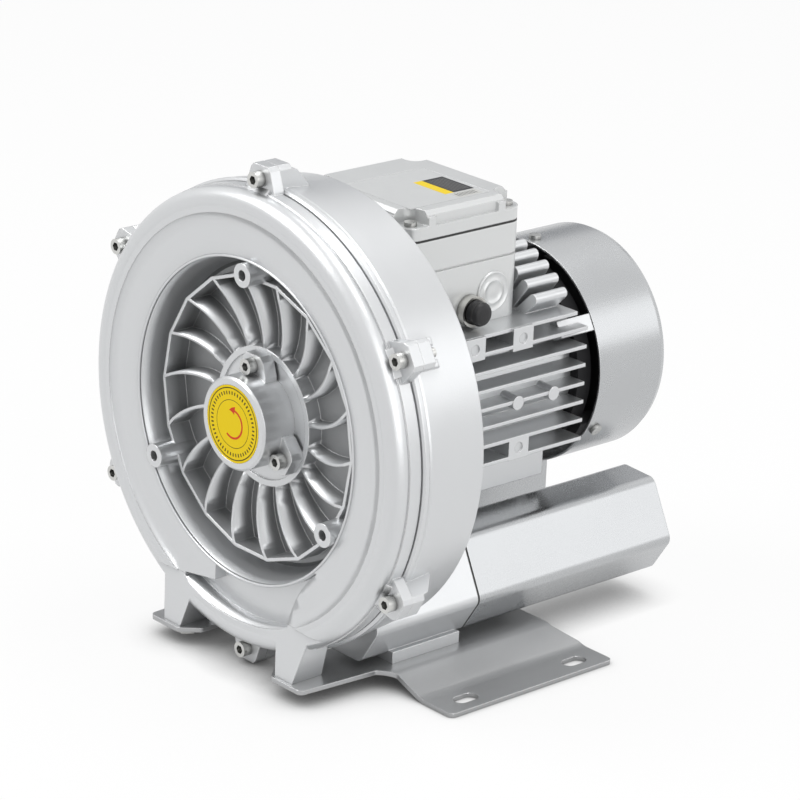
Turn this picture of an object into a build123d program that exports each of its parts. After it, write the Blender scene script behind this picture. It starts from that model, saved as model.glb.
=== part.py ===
"""Side channel blower: a finned motor drives an impeller in a ring channel, with two silencers below.

Millimetres. The shaft runs along Y, the ribbed cover faces -Y and +Z is up. The origin is on the
floor, under the middle of the bounding box. Distances along the shaft are given behind the split
between cover and casing, so what stands in front of the split has a negative distance.
"""
from math import asin, cos, degrees, radians, sin
import os

from build123d import *

# Whole machine
SHAFT_HEIGHT = 163.5
FRONT_REACH = 26.5
REAR_REACH = 280.5
SPLIT_Y = (FRONT_REACH - REAR_REACH) / 2

# Ring channel and impeller
CHANNEL_R = 120.5
CHANNEL_HALF_WIDTH = 14.5
CHANNEL_DEPTH = 10.0
CHAMBER_FRONT = -3.5
IMPELLER_WIDTH = 19.0
IMPELLER_SIDE_GAP = 0.5
IMPELLER_TIP_GAP = 0.8
BLADE_COUNT = 32
BLADE_THICKNESS = 2.2
IMPELLER_DISC = 4.6
COVER_GROOVE_ENDS = (243, 315)
CASING_GROOVE_ENDS = (250, 290)

# Cover
COVER_FLANGE_R = 147.0
COVER_FLANGE = 9.5
FLANGE_STEP = 2.5
SPLIT_LINE = 1.0
RIDGE_R = 134.0
RIDGE_WIDTH = 4.0
RIDGE_FRONT = -19.5
FACE_DROP = 1.5
LIP_R = 102.3
LIP_FRONT = -16.5
RECESS_FLOOR = 9.5
COVER_FLOOR = 4.0
LIP_WALL_OUTER_R = 103.5
LIP_WALL_FOOT_R = 98.5
HUB_R = 44.2
HUB_FRONT = -0.6
HUB_RING = 4.0
HUB_RING_STEP = 1.2
POCKET_FLOOR = -7.5
RIB_COUNT = 18
RIB_THICKNESS = 2.2
RIB_TIP_R = 90.0
RIB_TIP_FRONT = -6.5
RIB_SWEEP = 9.5
TAPPED_BOSS_CIRCLE_R = 94.35
TAPPED_BOSS_R = 7.6
TAPPED_BOSS_FRONT = -20.1
TAPPED_HOLE_R = 3.4
TAPPED_HOLE_DEPTH = 16.0
TAPPED_BOSS_ANGLES = (90, 210, 330)

# Lugs and screws that clamp cover and casing
LUG_COUNT = 6
LUG_FIRST = 30
LUG_SCREW_R = 153.0
LUG_OUTER_R = 161.5
LUG_ROOT_R = 140.0
LUG_WIDTH = 18.0
LUG_FOOT_WIDTH = 28.0
LUG_CORNER = 2.5
LUG_FRONT = -7.7
LUG_BACK = 9.0
LUG_TAIL = 23.0
LUG_RIB = 4.5
M6_R = 3.0
M6_CLEARANCE_R = 3.3
LUG_SCREW_LENGTH = 24.0

# Cover legs
LEG_X = 55.0
LEG_FRONT = -24.0
LEG_BOTTOM_WIDTH = 16.0
LEG_TOP_WIDTH = 32.0
LEG_TOP_Z = 34.0
LEG_TOP_FRONT = -17.5
LEG_BOLT_LENGTH = 16.0

# Casing
CASING_R = 148.0
CASING_REAR_R = 143.0
CASING_LENGTH = 53.5
LIP_LENGTH = 4.0
CASING_SKIN = 5.0
CASING_WALL = 5.0
CASING_RIB_COUNT = 12
CASING_RIB = 4.0
DISC_GAP = 0.6
FLANGE_INNER_R = 66.0
FLANGE_OUTER_R = 79.0

# Bearing cap and label
CAP_R = 29.7
CAP_FRONT = -24.1
CAP_WALL = 3.0
CAP_LUG_R = 35.2
CAP_LUG_THICKNESS = 9.0
CAP_LUG_WIDTH = 19.0
CAP_LUG_FOOT = 25.0
CAP_LUG_OUTER_R = 42.0
CAP_LUG_CORNER = 3.0
CAP_FOOT_RIM = 1.5
LABEL_R = 24.5
LABEL_THICKNESS = 0.6

# Shaft and bearings
JOURNAL_R = 10.0
SEAT_R = 12.0
ROTOR_SHAFT_R = 15.0
REAR_JOURNAL_R = 7.5
SHAFT_FRONT = -16.5
FRONT_BEARING = -10.0
FRONT_BEARING_R = 23.5
FRONT_BEARING_WIDTH = 14.0
REAR_BEARING_R = 17.5
REAR_BEARING_WIDTH = 11.0
BALL_COUNT = 7
BALL_SLACK = 0.02
CAGE_SLACK = 0.05
CAGE_SHEET = 0.8
NUT_R = 14.0
NUT_THICKNESS = 5.0
SLEEVE_R = 14.0
SPRING_GAP = 0.15
IMPELLER_HUB_R = 24.0
IMPELLER_HUB_REAR = 41.0
KEY_WIDTH = 6.0
KEY_HEIGHT = 6.0
SHAFT_HOLE_GAP = 0.6

# Motor
HOUSING_R = 59.0
HOUSING_WALL = 6.0
HOUSING_REAR = 205.5
HOUSING_FLANGE = 8.0
FIN_START = 66.0
FIN_PITCH = 12.4
FIN_THICKNESS = 2.4
FIN_REACH = 72.0
SHELF_Z = 48.0
SHELF_REAR = 197.5
TOP_FIN_FRONT = 167.0
TOP_FIN_REAR = 194.0
TOP_FIN_R = 88.0
TOP_FIN_WIDTH = 7.0
TOP_FIN_PITCH = 7.5
TOP_FIN_COUNT = 13
HOUSING_LUG_ANGLES = (30, 150)
HOUSING_LUG_OUTER_R = 74.0
HOUSING_LUG_WIDTH = 11.0
HOUSING_LUG_FRONT = 188.0
HOUSING_LUG_REAR = 216.6
SIDE_PAD_LENGTH = 17.0
SIDE_PAD_HEIGHT = 15.0
SIDE_PAD_DEPTH = 27.0
SIDE_PADS = ((108.4, 41.5), (149.1, 41.5), (150.3, -31.5))
SIDE_MARK_R = 3.5
SIDE_BOSSES = ((147.3, -1.0), (178.2, -1.0))
SIDE_BOSS_R = 4.6
SIDE_BOSS_DEPTH = 15.0
STATOR_FRONT = 88.0
STATOR_LENGTH = 80.0
STATOR_BORE_R = 31.0
AIR_GAP = 0.6
WINDING_REACH = 20.0
END_SHIELD_R = 66.0
END_SHIELD_REAR = 217.0
SHIELD_WALL = 5.0
SPIGOT = 4.0
FAN_COVER_R = 74.4
FAN_COVER_FRONT = 217.2
FAN_COVER_REAR = 278.5
FAN_COVER_SHEET = 1.5
GRILLE_RINGS = (56, 47, 38, 29, 20)
GRILLE_SLOT = 5.0
GRILLE_BAR = 8.0
FAN_R = 62.0
FAN_CLEARANCE = 1.5
FAN_HUB_R = 14.0
FAN_FRONT = 231.0
FAN_LENGTH = 26.0
FAN_BLADES = 9
SHAFT_REAR = 262.0

# Terminal box
BOX_FRONT = 68.0
BOX_REAR = 164.0
BOX_HALF = 51.0
BOX_TOP_Z = 110.5
BOX_WALL = 3.5
BOX_SEAM_Z = 89.5
BOX_SEAM = 1.2
BOX_FLOOR_R = 63.0
GASKET = 1.5
LID_HEIGHT = 17.0
LID_EDGE = 2.5
LID_RIM = 8.0
LID_INSET = 2.0
LID_NOTCH_R = 8.0

# Silencers, with their section given from the shaft
SILENCER_FRONT = 110.0
SILENCER_INNER_X = 32.0
SILENCER_TOP_Z = -81.5
SILENCER_BOTTOM_Z = -146.0
SILENCER_FOOT_X = 71.0
SILENCER_CORNER_X = 87.0
SILENCER_CORNER_Z = -121.0
SILENCER_SHOULDER_X = 68.0
SILENCER_SHOULDER_Z = -83.0
SILENCER_ROUNDING = 7.0
SILENCER_WALL = 3.0
DUCT_INSET = 5.0
FOAM = 8.0
SILENCER_GASKET = 1.5
PORT_R = 19.5
PORT_X = 59.0
PORT_Z = -117.0
PORT_WALL = 2.5
PORT_LENGTH = 14.0
TIE_ROD_R = 2.5

# Feet under the port blocks
FOOT_X = 60.0
FOOT_WIDTH = 34.0
FOOT_DISTANCE = 74.0
FOOT_LENGTH = 56.0
FOOT_HEIGHT = 8.0
FOOT_BOLT_PITCH = 36.0

# Base plates
SHEET = 3.0
PLATE_TOP = 12.5
PLATE_INNER_X = 36.0
PLATE_BEND_X = 86.0
PLATE_BEND_R = 20.0
PLATE_CORNER = 4.0
PLATE_FOOT_X = 112.0
PLATE_OUTER_X = 138.8
WING_FRONT = 40.0
WING_REAR = 178.6
TONGUE_OUTER_X = 74.0
SLOT_X = 126.0
SLOT_R = 5.0
SLOT_LENGTH = 18.0
SLOT_FRONT = 63.5
SLOT_SPACING = 93.0
M8_R = 4.0

# Fits, fasteners and small parts
CHANNEL_MIDDLE = CHAMBER_FRONT + IMPELLER_SIDE_GAP + IMPELLER_WIDTH / 2
WEB = 3.0
SLEEVE_STAND = 0.6
KEY_LENGTH = 22.0
SEAL_WIDTH = 7.0
SEAL_GAP = 0.05
SPRING_HEIGHT = 2.0
CAP_SCREW_LENGTH = 16.0
FLANGE_BOLT_LENGTH = 22.0
FLANGE_BOLT_R = 72.0
SHIELD_SCREW = 2.0
SHIELD_SCREW_R = 56.0
SHIELD_SCREW_DEPTH = 14.0
SHIELD_SCREW_ANGLES = (30, 150, 210, 330)
FAN_COVER_SCREW_ANGLES = (90, 210, 330)
FAN_SCREW_R = 2.0
FAN_SCREW_LENGTH = 6.0
PAD_LENGTH = 16.0
PAD_WIDTH = 12.0
BOX_CORNER = 10.0
LID_SCREW_INSET = 8.0
LID_SCREW_R = 2.0
LID_SCREW_LENGTH = 12.0
LID_POST_R = 4.5
PLATE_RECESS = 0.6
NAME_PLATE_X = 8.0
NAME_PLATE_DISTANCE = 112.0
NAME_PLATE_WIDTH = 62.0
NAME_PLATE_LENGTH = 66.0
BOARD_WIDTH = 44.0
BOARD_LENGTH = 50.0
BOARD_HEIGHT = 12.0
STUD_R = 2.0
STUD_LENGTH = 10.0
STUD_PITCH = 15.0
GLAND_DISTANCE = 120.5
GLAND_Z = 60.0
GLAND_R = 7.0
GLAND_BORE_R = 5.0
GLAND_TAIL = 5.0
PLUG_LENGTH = 9.0
PLUG_TIP_R = 3.0
KNOCKOUT_DISTANCE = 140.5
KNOCKOUT_Z = 68.0
KNOCKOUT_R = 7.5
END_INSET = 1.0
END_PLATE = 6.0

SHAFT = Axis((0, SPLIT_Y, SHAFT_HEIGHT), (0, 1, 0))


def across(distance, x=0.0, z=0.0):
    """Plane across the shaft that faces the front, a distance behind the split."""
    return Plane(origin=(x, SPLIT_Y + distance, SHAFT_HEIGHT + z), x_dir=(1, 0, 0), z_dir=(0, -1, 0))


def half_plane(angle):
    """Plane through the shaft whose second axis points outwards at an angle from +X towards +Z."""
    turn = radians(angle)
    return Plane(origin=(0, SPLIT_Y, SHAFT_HEIGHT), x_dir=(0, 1, 0), z_dir=(sin(turn), 0, -cos(turn)))


def polar(radius, angle):
    return (radius * cos(radians(angle)), radius * sin(radians(angle)))


def turned(*points, mode=Mode.ADD):
    """Turn a closed outline of (distance behind the split, radius) points about the shaft."""
    with BuildSketch(half_plane(90)) as outline:
        with BuildLine():
            Polyline(*points, close=True)
        make_face()
    revolve(outline.sketch, axis=SHAFT, mode=mode)


def cylinder(plane, radius, length, mode=Mode.ADD, hole=0.0):
    """Round bar or tube along a plane's normal."""
    with BuildSketch(plane) as disc:
        Circle(radius)
        if hole:
            Circle(hole, mode=Mode.SUBTRACT)
    extrude(disc.sketch, amount=length, mode=mode)


def cap_screw(seat, radius, length):
    """Socket head cap screw whose head stands on the seat and faces along its normal."""
    head_r = radius * 5 / 3
    head_height = radius * 2
    cylinder(seat, head_r, head_height)
    cylinder(seat, radius, -length)
    with BuildSketch(seat.offset(head_height)) as socket:
        RegularPolygon(radius * 5 / 6, 6, major_radius=False)
    extrude(socket.sketch, amount=-radius, mode=Mode.SUBTRACT)


def hex_screw(seat, radius, length):
    """Hexagon screw whose head stands on the seat and faces along its normal."""
    with BuildSketch(seat) as head:
        RegularPolygon(radius * 1.625, 6, major_radius=False)
    extrude(head.sketch, amount=radius * 1.33)
    cylinder(seat, radius, -length)


# Channel sections
channel_inner_r = CHANNEL_R - CHANNEL_HALF_WIDTH
channel_outer_r = CHANNEL_R + CHANNEL_HALF_WIDTH
impeller_r = channel_outer_r
chamber_r = impeller_r + IMPELLER_TIP_GAP
impeller_front = CHAMBER_FRONT + IMPELLER_SIDE_GAP
impeller_rear = impeller_front + IMPELLER_WIDTH
chamber_rear = impeller_rear + IMPELLER_SIDE_GAP
cover_back = RECESS_FLOOR + COVER_FLOOR
disc_front = cover_back + IMPELLER_SIDE_GAP
disc_rear = disc_front + IMPELLER_DISC
casing_floor = disc_rear + DISC_GAP
casing_back = casing_floor + CASING_WALL
channel_back = chamber_rear + CHANNEL_DEPTH
rim_inner_r = LIP_WALL_OUTER_R + IMPELLER_SIDE_GAP


rear_bearing_front = HOUSING_REAR - 1
rear_bearing_back = rear_bearing_front + REAR_BEARING_WIDTH
fan_cover_inner_r = FAN_COVER_R - FAN_COVER_SHEET
pad_middle_r = (FAN_R + FAN_CLEARANCE + fan_cover_inner_r) / 2
flange_bolts = [polar(FLANGE_BOLT_R, angle) for angle in (52, 128, 232, 308)]


def half_plane_seat(angle):
    """Plane on the fan cover that faces outwards, where a cover screw sits."""
    x, z = polar(FAN_COVER_R, angle)
    origin = (x, SPLIT_Y + FAN_COVER_FRONT + PAD_LENGTH / 2, SHAFT_HEIGHT + z)
    return Plane(origin, x_dir=(0, 1, 0), z_dir=(x, 0, z))


def groove(flat, depth, ends):
    """Cut the half round side channel from its flat face, all round but for the gap at the bottom."""
    with BuildSketch(half_plane(ends[0])) as section:
        with BuildLine():
            ThreePointArc((flat, channel_inner_r), (flat + depth, CHANNEL_R), (flat, channel_outer_r))
            Line((flat, channel_outer_r), (flat, channel_inner_r))
        make_face()
    revolve(section.sketch, axis=SHAFT, revolution_arc=360 - (ends[1] - ends[0]), mode=Mode.SUBTRACT)


def rib_edge(angle, side):
    """One side of a curved rib, radial at the hub and swept towards its tip."""
    half = RIB_THICKNESS / 2 * side
    root_r = HUB_R - 1
    middle_r = (HUB_R + RIB_TIP_R) / 2
    points = [(root_r, 0), (middle_r, RIB_SWEEP * 0.22), (RIB_TIP_R, RIB_SWEEP)]
    return [polar(r, angle + sweep + degrees(asin(half / r))) for r, sweep in points]


def lug_outline(foot_width):
    """Outline of a lug that points along the first axis, with cut corners at its tip."""
    half = LUG_WIDTH / 2
    side = [(LUG_ROOT_R, foot_width / 2), (COVER_FLANGE_R, foot_width / 2 - 1),
            (LUG_OUTER_R - LUG_CORNER, half), (LUG_OUTER_R, half - LUG_CORNER)]
    return side + [(r, -across_it) for r, across_it in reversed(side)]


# Front cover
lug_angles = [LUG_FIRST + 360 / LUG_COUNT * i for i in range(LUG_COUNT)]
bearing_rear = FRONT_BEARING + FRONT_BEARING_WIDTH
nose_r = CAP_R - CAP_WALL - 0.2
nose_front = FRONT_BEARING - 2.0
plate_top_z = PLATE_TOP - SHAFT_HEIGHT

with BuildPart() as front_cover:
    with BuildSketch(half_plane(90)) as section:
        with BuildLine():
            Polyline((0, COVER_FLANGE_R - FLANGE_STEP), (-SPLIT_LINE, COVER_FLANGE_R - FLANGE_STEP),
                     (-SPLIT_LINE, COVER_FLANGE_R - 1), (-COVER_FLANGE, COVER_FLANGE_R - 1),
                     (-COVER_FLANGE, COVER_FLANGE_R - 2))
            ThreePointArc((-COVER_FLANGE, COVER_FLANGE_R - 2),
                          ((RIDGE_FRONT - COVER_FLANGE) * 0.54 - COVER_FLANGE * 0.05 - 1.6,
                           RIDGE_R + (COVER_FLANGE_R - RIDGE_R) * 0.7),
                          (RIDGE_FRONT, RIDGE_R))
            Polyline((RIDGE_FRONT, RIDGE_R),
                     (RIDGE_FRONT, RIDGE_R - RIDGE_WIDTH),
                     (RIDGE_FRONT + FACE_DROP, RIDGE_R - RIDGE_WIDTH),
                     (LIP_FRONT, LIP_R + 2),
                     (LIP_FRONT + 1.5, LIP_R),
                     (RECESS_FLOOR - 4, LIP_WALL_FOOT_R),
                     (RECESS_FLOOR, LIP_WALL_FOOT_R - 4),
                     (RECESS_FLOOR, HUB_R),
                     (HUB_FRONT, HUB_R),
                     (HUB_FRONT, HUB_R - HUB_RING),
                     (HUB_FRONT + HUB_RING_STEP, HUB_R - HUB_RING),
                     (HUB_FRONT + HUB_RING_STEP, nose_r),
                     (nose_front, nose_r),
                     (nose_front, FRONT_BEARING_R),
                     (bearing_rear, FRONT_BEARING_R),
                     (bearing_rear, FRONT_BEARING_R - 5),
                     (cover_back, FRONT_BEARING_R - 5),
                     (cover_back, LIP_WALL_OUTER_R),
                     (CHAMBER_FRONT, LIP_WALL_OUTER_R),
                     (CHAMBER_FRONT, chamber_r),
                     (0, chamber_r),
                     (0, COVER_FLANGE_R - FLANGE_STEP))
        make_face()
    revolve(axis=SHAFT)
    groove(CHAMBER_FRONT, -CHANNEL_DEPTH, COVER_GROOVE_ENDS)
    # The front wall is left out between the two channel ends, down to a flat pocket floor
    with BuildSketch(across(POCKET_FLOOR)) as pocket:
        Circle(RIDGE_R - RIDGE_WIDTH - 1)
        Circle(LIP_R + 2, mode=Mode.SUBTRACT)
        with BuildLine():
            Polyline((-22, -80), (-22, -112), (-50, -116), (-60, -140), (48, -140), (50, -117))
            ThreePointArc((50, -117), (57, -97), (74, -76))
            Line((74, -76), (-22, -80))
        make_face(mode=Mode.INTERSECT)
    extrude(pocket.sketch, amount=20, mode=Mode.SUBTRACT)
    # Cooling ribs, cut to a slope that rises towards their tips
    with BuildSketch(across(RECESS_FLOOR)) as ribs:
        for i in range(RIB_COUNT):
            angle = 360 / RIB_COUNT * (i + 0.5)
            left = rib_edge(angle, 1)
            right = rib_edge(angle, -1)
            with BuildLine():
                ThreePointArc(*left)
                ThreePointArc(*right)
                Line(left[0], right[0])
                Line(left[2], right[2])
            make_face()
    extrude(ribs.sketch, amount=RECESS_FLOOR - RIB_TIP_FRONT)
    turned((HUB_FRONT, HUB_R), (RIB_TIP_FRONT - 1, RIB_TIP_R), (RIB_TIP_FRONT - 1, HUB_R),
           mode=Mode.SUBTRACT)
    with BuildSketch(across(RECESS_FLOOR)) as tip_ring:
        RegularPolygon(RIB_TIP_R + RIB_THICKNESS / 2, RIB_COUNT)
        RegularPolygon(RIB_TIP_R - RIB_THICKNESS / 2, RIB_COUNT, mode=Mode.SUBTRACT)
    extrude(tip_ring.sketch, amount=RECESS_FLOOR - RIB_TIP_FRONT)
    for angle in TAPPED_BOSS_ANGLES:
        cylinder(across(HUB_FRONT, *polar(CAP_LUG_R, angle)), M6_R, CAP_LUG_THICKNESS - CAP_SCREW_LENGTH,
                 mode=Mode.SUBTRACT)
    # Tapped bosses for a guard or a bracket
    for angle in TAPPED_BOSS_ANGLES:
        seat = across(TAPPED_BOSS_FRONT, *polar(TAPPED_BOSS_CIRCLE_R, angle))
        cylinder(seat, TAPPED_BOSS_R, TAPPED_BOSS_FRONT - RECESS_FLOOR)
        cylinder(seat, TAPPED_HOLE_R, -TAPPED_HOLE_DEPTH, mode=Mode.SUBTRACT)
    # Lugs round the flange
    for angle in lug_angles:
        with BuildSketch(across(0)) as lug:
            with BuildLine(Location((0, 0, 0), (0, 0, angle))):
                Polyline(*lug_outline(LUG_FOOT_WIDTH), close=True)
            make_face()
        extrude(lug.sketch, amount=-LUG_FRONT)
        with BuildSketch(half_plane(angle)) as lug_crest:
            with BuildLine():
                Polyline((LUG_FRONT, COVER_FLANGE_R + 1), (LUG_FRONT - 6, LUG_ROOT_R + 3),
                         (LUG_FRONT, LUG_ROOT_R), close=True)
            make_face()
        extrude(lug_crest.sketch, amount=LUG_WIDTH / 2, both=True)
        seat = across(LUG_FRONT, *polar(LUG_SCREW_R, angle))
        cylinder(seat, M6_CLEARANCE_R, LUG_FRONT, mode=Mode.SUBTRACT)
    # Drafted legs that stand on the base plate tongues
    for side in (-1, 1):
        with BuildSketch(across(0)) as leg:
            with BuildLine():
                Polyline((side * (LEG_X - LEG_BOTTOM_WIDTH / 2), plate_top_z),
                         (side * (LEG_X + LEG_BOTTOM_WIDTH / 2), plate_top_z),
                         (side * (LEG_X + LEG_TOP_WIDTH / 2), plate_top_z + LEG_TOP_Z),
                         (side * (LEG_X - LEG_TOP_WIDTH / 2), plate_top_z + LEG_TOP_Z), close=True)
            make_face()
            Circle(RIDGE_R + 3, mode=Mode.SUBTRACT)
        extrude(leg.sketch, amount=-LEG_FRONT)
        with BuildSketch(Plane.YZ) as front_draft:
            with BuildLine():
                Polyline((SPLIT_Y + LEG_FRONT, PLATE_TOP), (SPLIT_Y + LEG_TOP_FRONT, PLATE_TOP + LEG_TOP_Z),
                         (SPLIT_Y + LEG_FRONT - 1, PLATE_TOP + LEG_TOP_Z),
                         (SPLIT_Y + LEG_FRONT - 1, PLATE_TOP), close=True)
            make_face()
        extrude(front_draft.sketch, amount=LEG_X * 2 * side, mode=Mode.SUBTRACT)
        bolt_seat = Plane((side * LEG_X, SPLIT_Y + LEG_FRONT / 2, PLATE_TOP))
        cylinder(bolt_seat, M8_R, LEG_BOLT_LENGTH, mode=Mode.SUBTRACT)

# Rear casing
foot_bolts = [(side * FOOT_X, SPLIT_Y + FOOT_DISTANCE + end * FOOT_BOLT_PITCH / 2)
              for side in (-1, 1) for end in (-1, 1)]
rib_angle = 360 / CASING_RIB_COUNT
casing_slope = (CASING_R - CASING_REAR_R) / CASING_LENGTH
channel_shell = channel_back + CASING_WALL
shaft_hole_r = ROTOR_SHAFT_R + SHAFT_HOLE_GAP
hub_pocket_r = IMPELLER_HUB_R + 3
hub_pocket_back = IMPELLER_HUB_REAR + 3
hub_wall_back = hub_pocket_back + CASING_WALL
duct_front = casing_back + CASING_WALL


def silencer_section(distance, inset=0.0):
    """Section of the right hand silencer on a plane across the shaft, drawn in by an inset."""
    with BuildSketch(across(distance)) as section:
        with BuildLine():
            FilletPolyline((SILENCER_INNER_X, SILENCER_TOP_Z - 14), (SILENCER_INNER_X, SILENCER_BOTTOM_Z),
                           (SILENCER_FOOT_X, SILENCER_BOTTOM_Z), (SILENCER_CORNER_X, SILENCER_CORNER_Z),
                           (SILENCER_SHOULDER_X, SILENCER_SHOULDER_Z),
                           (SILENCER_INNER_X + 6, SILENCER_TOP_Z),
                           radius=SILENCER_ROUNDING, close=True)
        make_face()
        if inset:
            offset(amount=-inset, kind=Kind.INTERSECTION, mode=Mode.REPLACE)
    return section.sketch


with BuildPart() as rear_casing:
    turned((0, CASING_R - 1.5), (1.2, CASING_R), (LIP_LENGTH, CASING_R), (LIP_LENGTH + 0.8, CASING_R - 1),
           (LIP_LENGTH + 2.4, CASING_R - 0.3), (CASING_LENGTH - 2, CASING_REAR_R),
           (CASING_LENGTH, CASING_REAR_R - 2),
           (CASING_LENGTH, CASING_REAR_R - CASING_SKIN), (channel_shell, CASING_REAR_R - CASING_SKIN),
           (channel_shell, channel_inner_r), (casing_back, channel_inner_r - CASING_WALL),
           (casing_back, FLANGE_OUTER_R), (CASING_LENGTH, FLANGE_OUTER_R),
           (CASING_LENGTH, FLANGE_INNER_R), (casing_back, FLANGE_INNER_R),
           (casing_back, hub_pocket_r + CASING_WALL), (hub_wall_back, hub_pocket_r + CASING_WALL),
           (hub_wall_back, shaft_hole_r), (hub_pocket_back, shaft_hole_r),
           (hub_pocket_back, hub_pocket_r), (casing_floor, hub_pocket_r), (casing_floor, rim_inner_r + 1),
           (chamber_rear, rim_inner_r + 1), (chamber_rear, chamber_r), (0, chamber_r))
    # Ribs between the motor flange and the outer skin
    with BuildSketch(across(CASING_LENGTH)) as casing_ribs:
        middle_r = (FLANGE_OUTER_R + CASING_REAR_R - CASING_SKIN) / 2
        with PolarLocations(middle_r, CASING_RIB_COUNT, start_angle=rib_angle / 2):
            Rectangle(CASING_REAR_R - CASING_SKIN - FLANGE_OUTER_R + 4, CASING_RIB)
    extrude(casing_ribs.sketch, amount=CASING_LENGTH - casing_back)
    # Port blocks that lead the air to the silencers
    for side in (1, -1):
        block = silencer_section(SILENCER_FRONT - SILENCER_GASKET)
        duct = silencer_section(SILENCER_FRONT - SILENCER_GASKET, DUCT_INSET)
        with BuildSketch(across(duct_front)) as way_in:
            add(silencer_section(duct_front, DUCT_INSET))
            Circle(CASING_REAR_R - CASING_SKIN - 2, mode=Mode.INTERSECT)
        mouth = way_in.sketch
        if side < 0:
            block = block.mirror(Plane.YZ)
            duct = duct.mirror(Plane.YZ)
            mouth = mouth.mirror(Plane.YZ)
        extrude(block, amount=SILENCER_FRONT - SILENCER_GASKET - casing_back, dir=(0, -1, 0))
        extrude(duct, amount=SILENCER_FRONT - SILENCER_GASKET - duct_front, dir=(0, -1, 0),
                mode=Mode.SUBTRACT)
        extrude(mouth, amount=duct_front - chamber_rear - 4, dir=(0, -1, 0), mode=Mode.SUBTRACT)
        with BuildSketch(Plane.XY.offset(PLATE_TOP)) as foot:
            with Locations((side * FOOT_X, SPLIT_Y + FOOT_DISTANCE)):
                Rectangle(FOOT_WIDTH, FOOT_LENGTH)
        extrude(foot.sketch, amount=FOOT_HEIGHT)
    groove(chamber_rear, CHANNEL_DEPTH, CASING_GROOVE_ENDS)
    for angle in lug_angles:
        with BuildSketch(across(LUG_BACK)) as lug:
            with BuildLine(Location((0, 0, 0), (0, 0, angle))):
                Polyline(*lug_outline(LUG_WIDTH + 2), close=True)
            make_face()
        extrude(lug.sketch, amount=LUG_BACK)
        # Two ribs run on behind each lug
        for side in (-1, 1):
            with BuildSketch(half_plane(angle).offset(side * (LUG_WIDTH - LUG_RIB) / 2)) as lug_rib:
                with BuildLine():
                    Polyline((LUG_BACK - 1, LUG_ROOT_R), (LUG_BACK - 1, LUG_OUTER_R - LUG_CORNER),
                             (LUG_BACK + 4, LUG_OUTER_R - LUG_CORNER - 1), (LUG_TAIL, CASING_R - 1),
                             (LUG_TAIL, LUG_ROOT_R), close=True)
                make_face()
            extrude(lug_rib.sketch, amount=LUG_RIB / 2, both=True)
        cylinder(across(0, *polar(LUG_SCREW_R, angle)), M6_R, -LUG_FRONT - LUG_SCREW_LENGTH,
                 mode=Mode.SUBTRACT)
    for x, y in foot_bolts:
        cylinder(Plane((x, y, PLATE_TOP)), M8_R, FOOT_HEIGHT - SHEET, mode=Mode.SUBTRACT)
    for x, z in flange_bolts:
        cylinder(across(CASING_LENGTH, x, z), M6_R, FLANGE_BOLT_LENGTH - HOUSING_FLANGE, mode=Mode.SUBTRACT)


# Impeller
with BuildPart() as impeller:
    turned((impeller_front, rim_inner_r), (impeller_front, channel_inner_r + 1),
           (CHANNEL_MIDDLE - WEB / 2, CHANNEL_R + 5), (CHANNEL_MIDDLE - WEB / 2, impeller_r),
           (CHANNEL_MIDDLE + WEB / 2, impeller_r), (CHANNEL_MIDDLE + WEB / 2, CHANNEL_R + 5),
           (impeller_rear, channel_inner_r + 1), (impeller_rear, rim_inner_r))
    turned((disc_front, IMPELLER_HUB_R - 4), (disc_front, rim_inner_r + 0.5), (disc_rear, rim_inner_r + 0.5),
           (disc_rear, IMPELLER_HUB_R - 4))
    turned((cover_back + SLEEVE_STAND, SEAT_R), (cover_back + SLEEVE_STAND, IMPELLER_HUB_R),
           (IMPELLER_HUB_REAR, IMPELLER_HUB_R), (IMPELLER_HUB_REAR, SEAT_R))
    with BuildSketch(across(impeller_rear)) as blades:
        blade_r = (rim_inner_r + impeller_r) / 2
        with PolarLocations(blade_r, BLADE_COUNT):
            Rectangle(impeller_r - rim_inner_r - 0.4, BLADE_THICKNESS)
    extrude(blades.sketch, amount=IMPELLER_WIDTH)
    cylinder(across(disc_rear), SEAT_R, IMPELLER_WIDTH, mode=Mode.SUBTRACT)
    with BuildSketch(across(IMPELLER_HUB_REAR)) as keyway:
        with Locations((0, SEAT_R)):
            Rectangle(KEY_WIDTH, KEY_HEIGHT)
    extrude(keyway.sketch, amount=IMPELLER_HUB_REAR - cover_back, mode=Mode.SUBTRACT)

# Shaft with its journals, key, sleeve and nut
with BuildPart() as motor_shaft:
    turned((SHAFT_FRONT, 0), (SHAFT_FRONT, JOURNAL_R), (cover_back + SLEEVE_STAND, JOURNAL_R),
           (cover_back + SLEEVE_STAND, SEAT_R), (IMPELLER_HUB_REAR, SEAT_R),
           (IMPELLER_HUB_REAR, ROTOR_SHAFT_R), (rear_bearing_front, ROTOR_SHAFT_R),
           (rear_bearing_front, REAR_JOURNAL_R),
           (SHAFT_REAR, REAR_JOURNAL_R), (SHAFT_REAR, 0))
    with BuildSketch(across(IMPELLER_HUB_REAR)) as key_seat:
        with Locations((0, SEAT_R)):
            Rectangle(KEY_WIDTH, KEY_HEIGHT)
    extrude(key_seat.sketch, amount=KEY_LENGTH, mode=Mode.SUBTRACT)

with BuildPart() as impeller_key:
    with BuildSketch(across(IMPELLER_HUB_REAR)) as key_section:
        with Locations((0, SEAT_R)):
            Rectangle(KEY_WIDTH, KEY_HEIGHT)
    extrude(key_section.sketch, amount=KEY_LENGTH)

with BuildPart() as spacer_sleeve:
    cylinder(across(bearing_rear), SLEEVE_R, bearing_rear - cover_back - SLEEVE_STAND, hole=JOURNAL_R)

with BuildPart() as shaft_nut:
    with BuildSketch(across(FRONT_BEARING)) as nut:
        RegularPolygon(NUT_R, 6, major_radius=False)
        Circle(JOURNAL_R, mode=Mode.SUBTRACT)
    extrude(nut.sketch, amount=NUT_THICKNESS)


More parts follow.
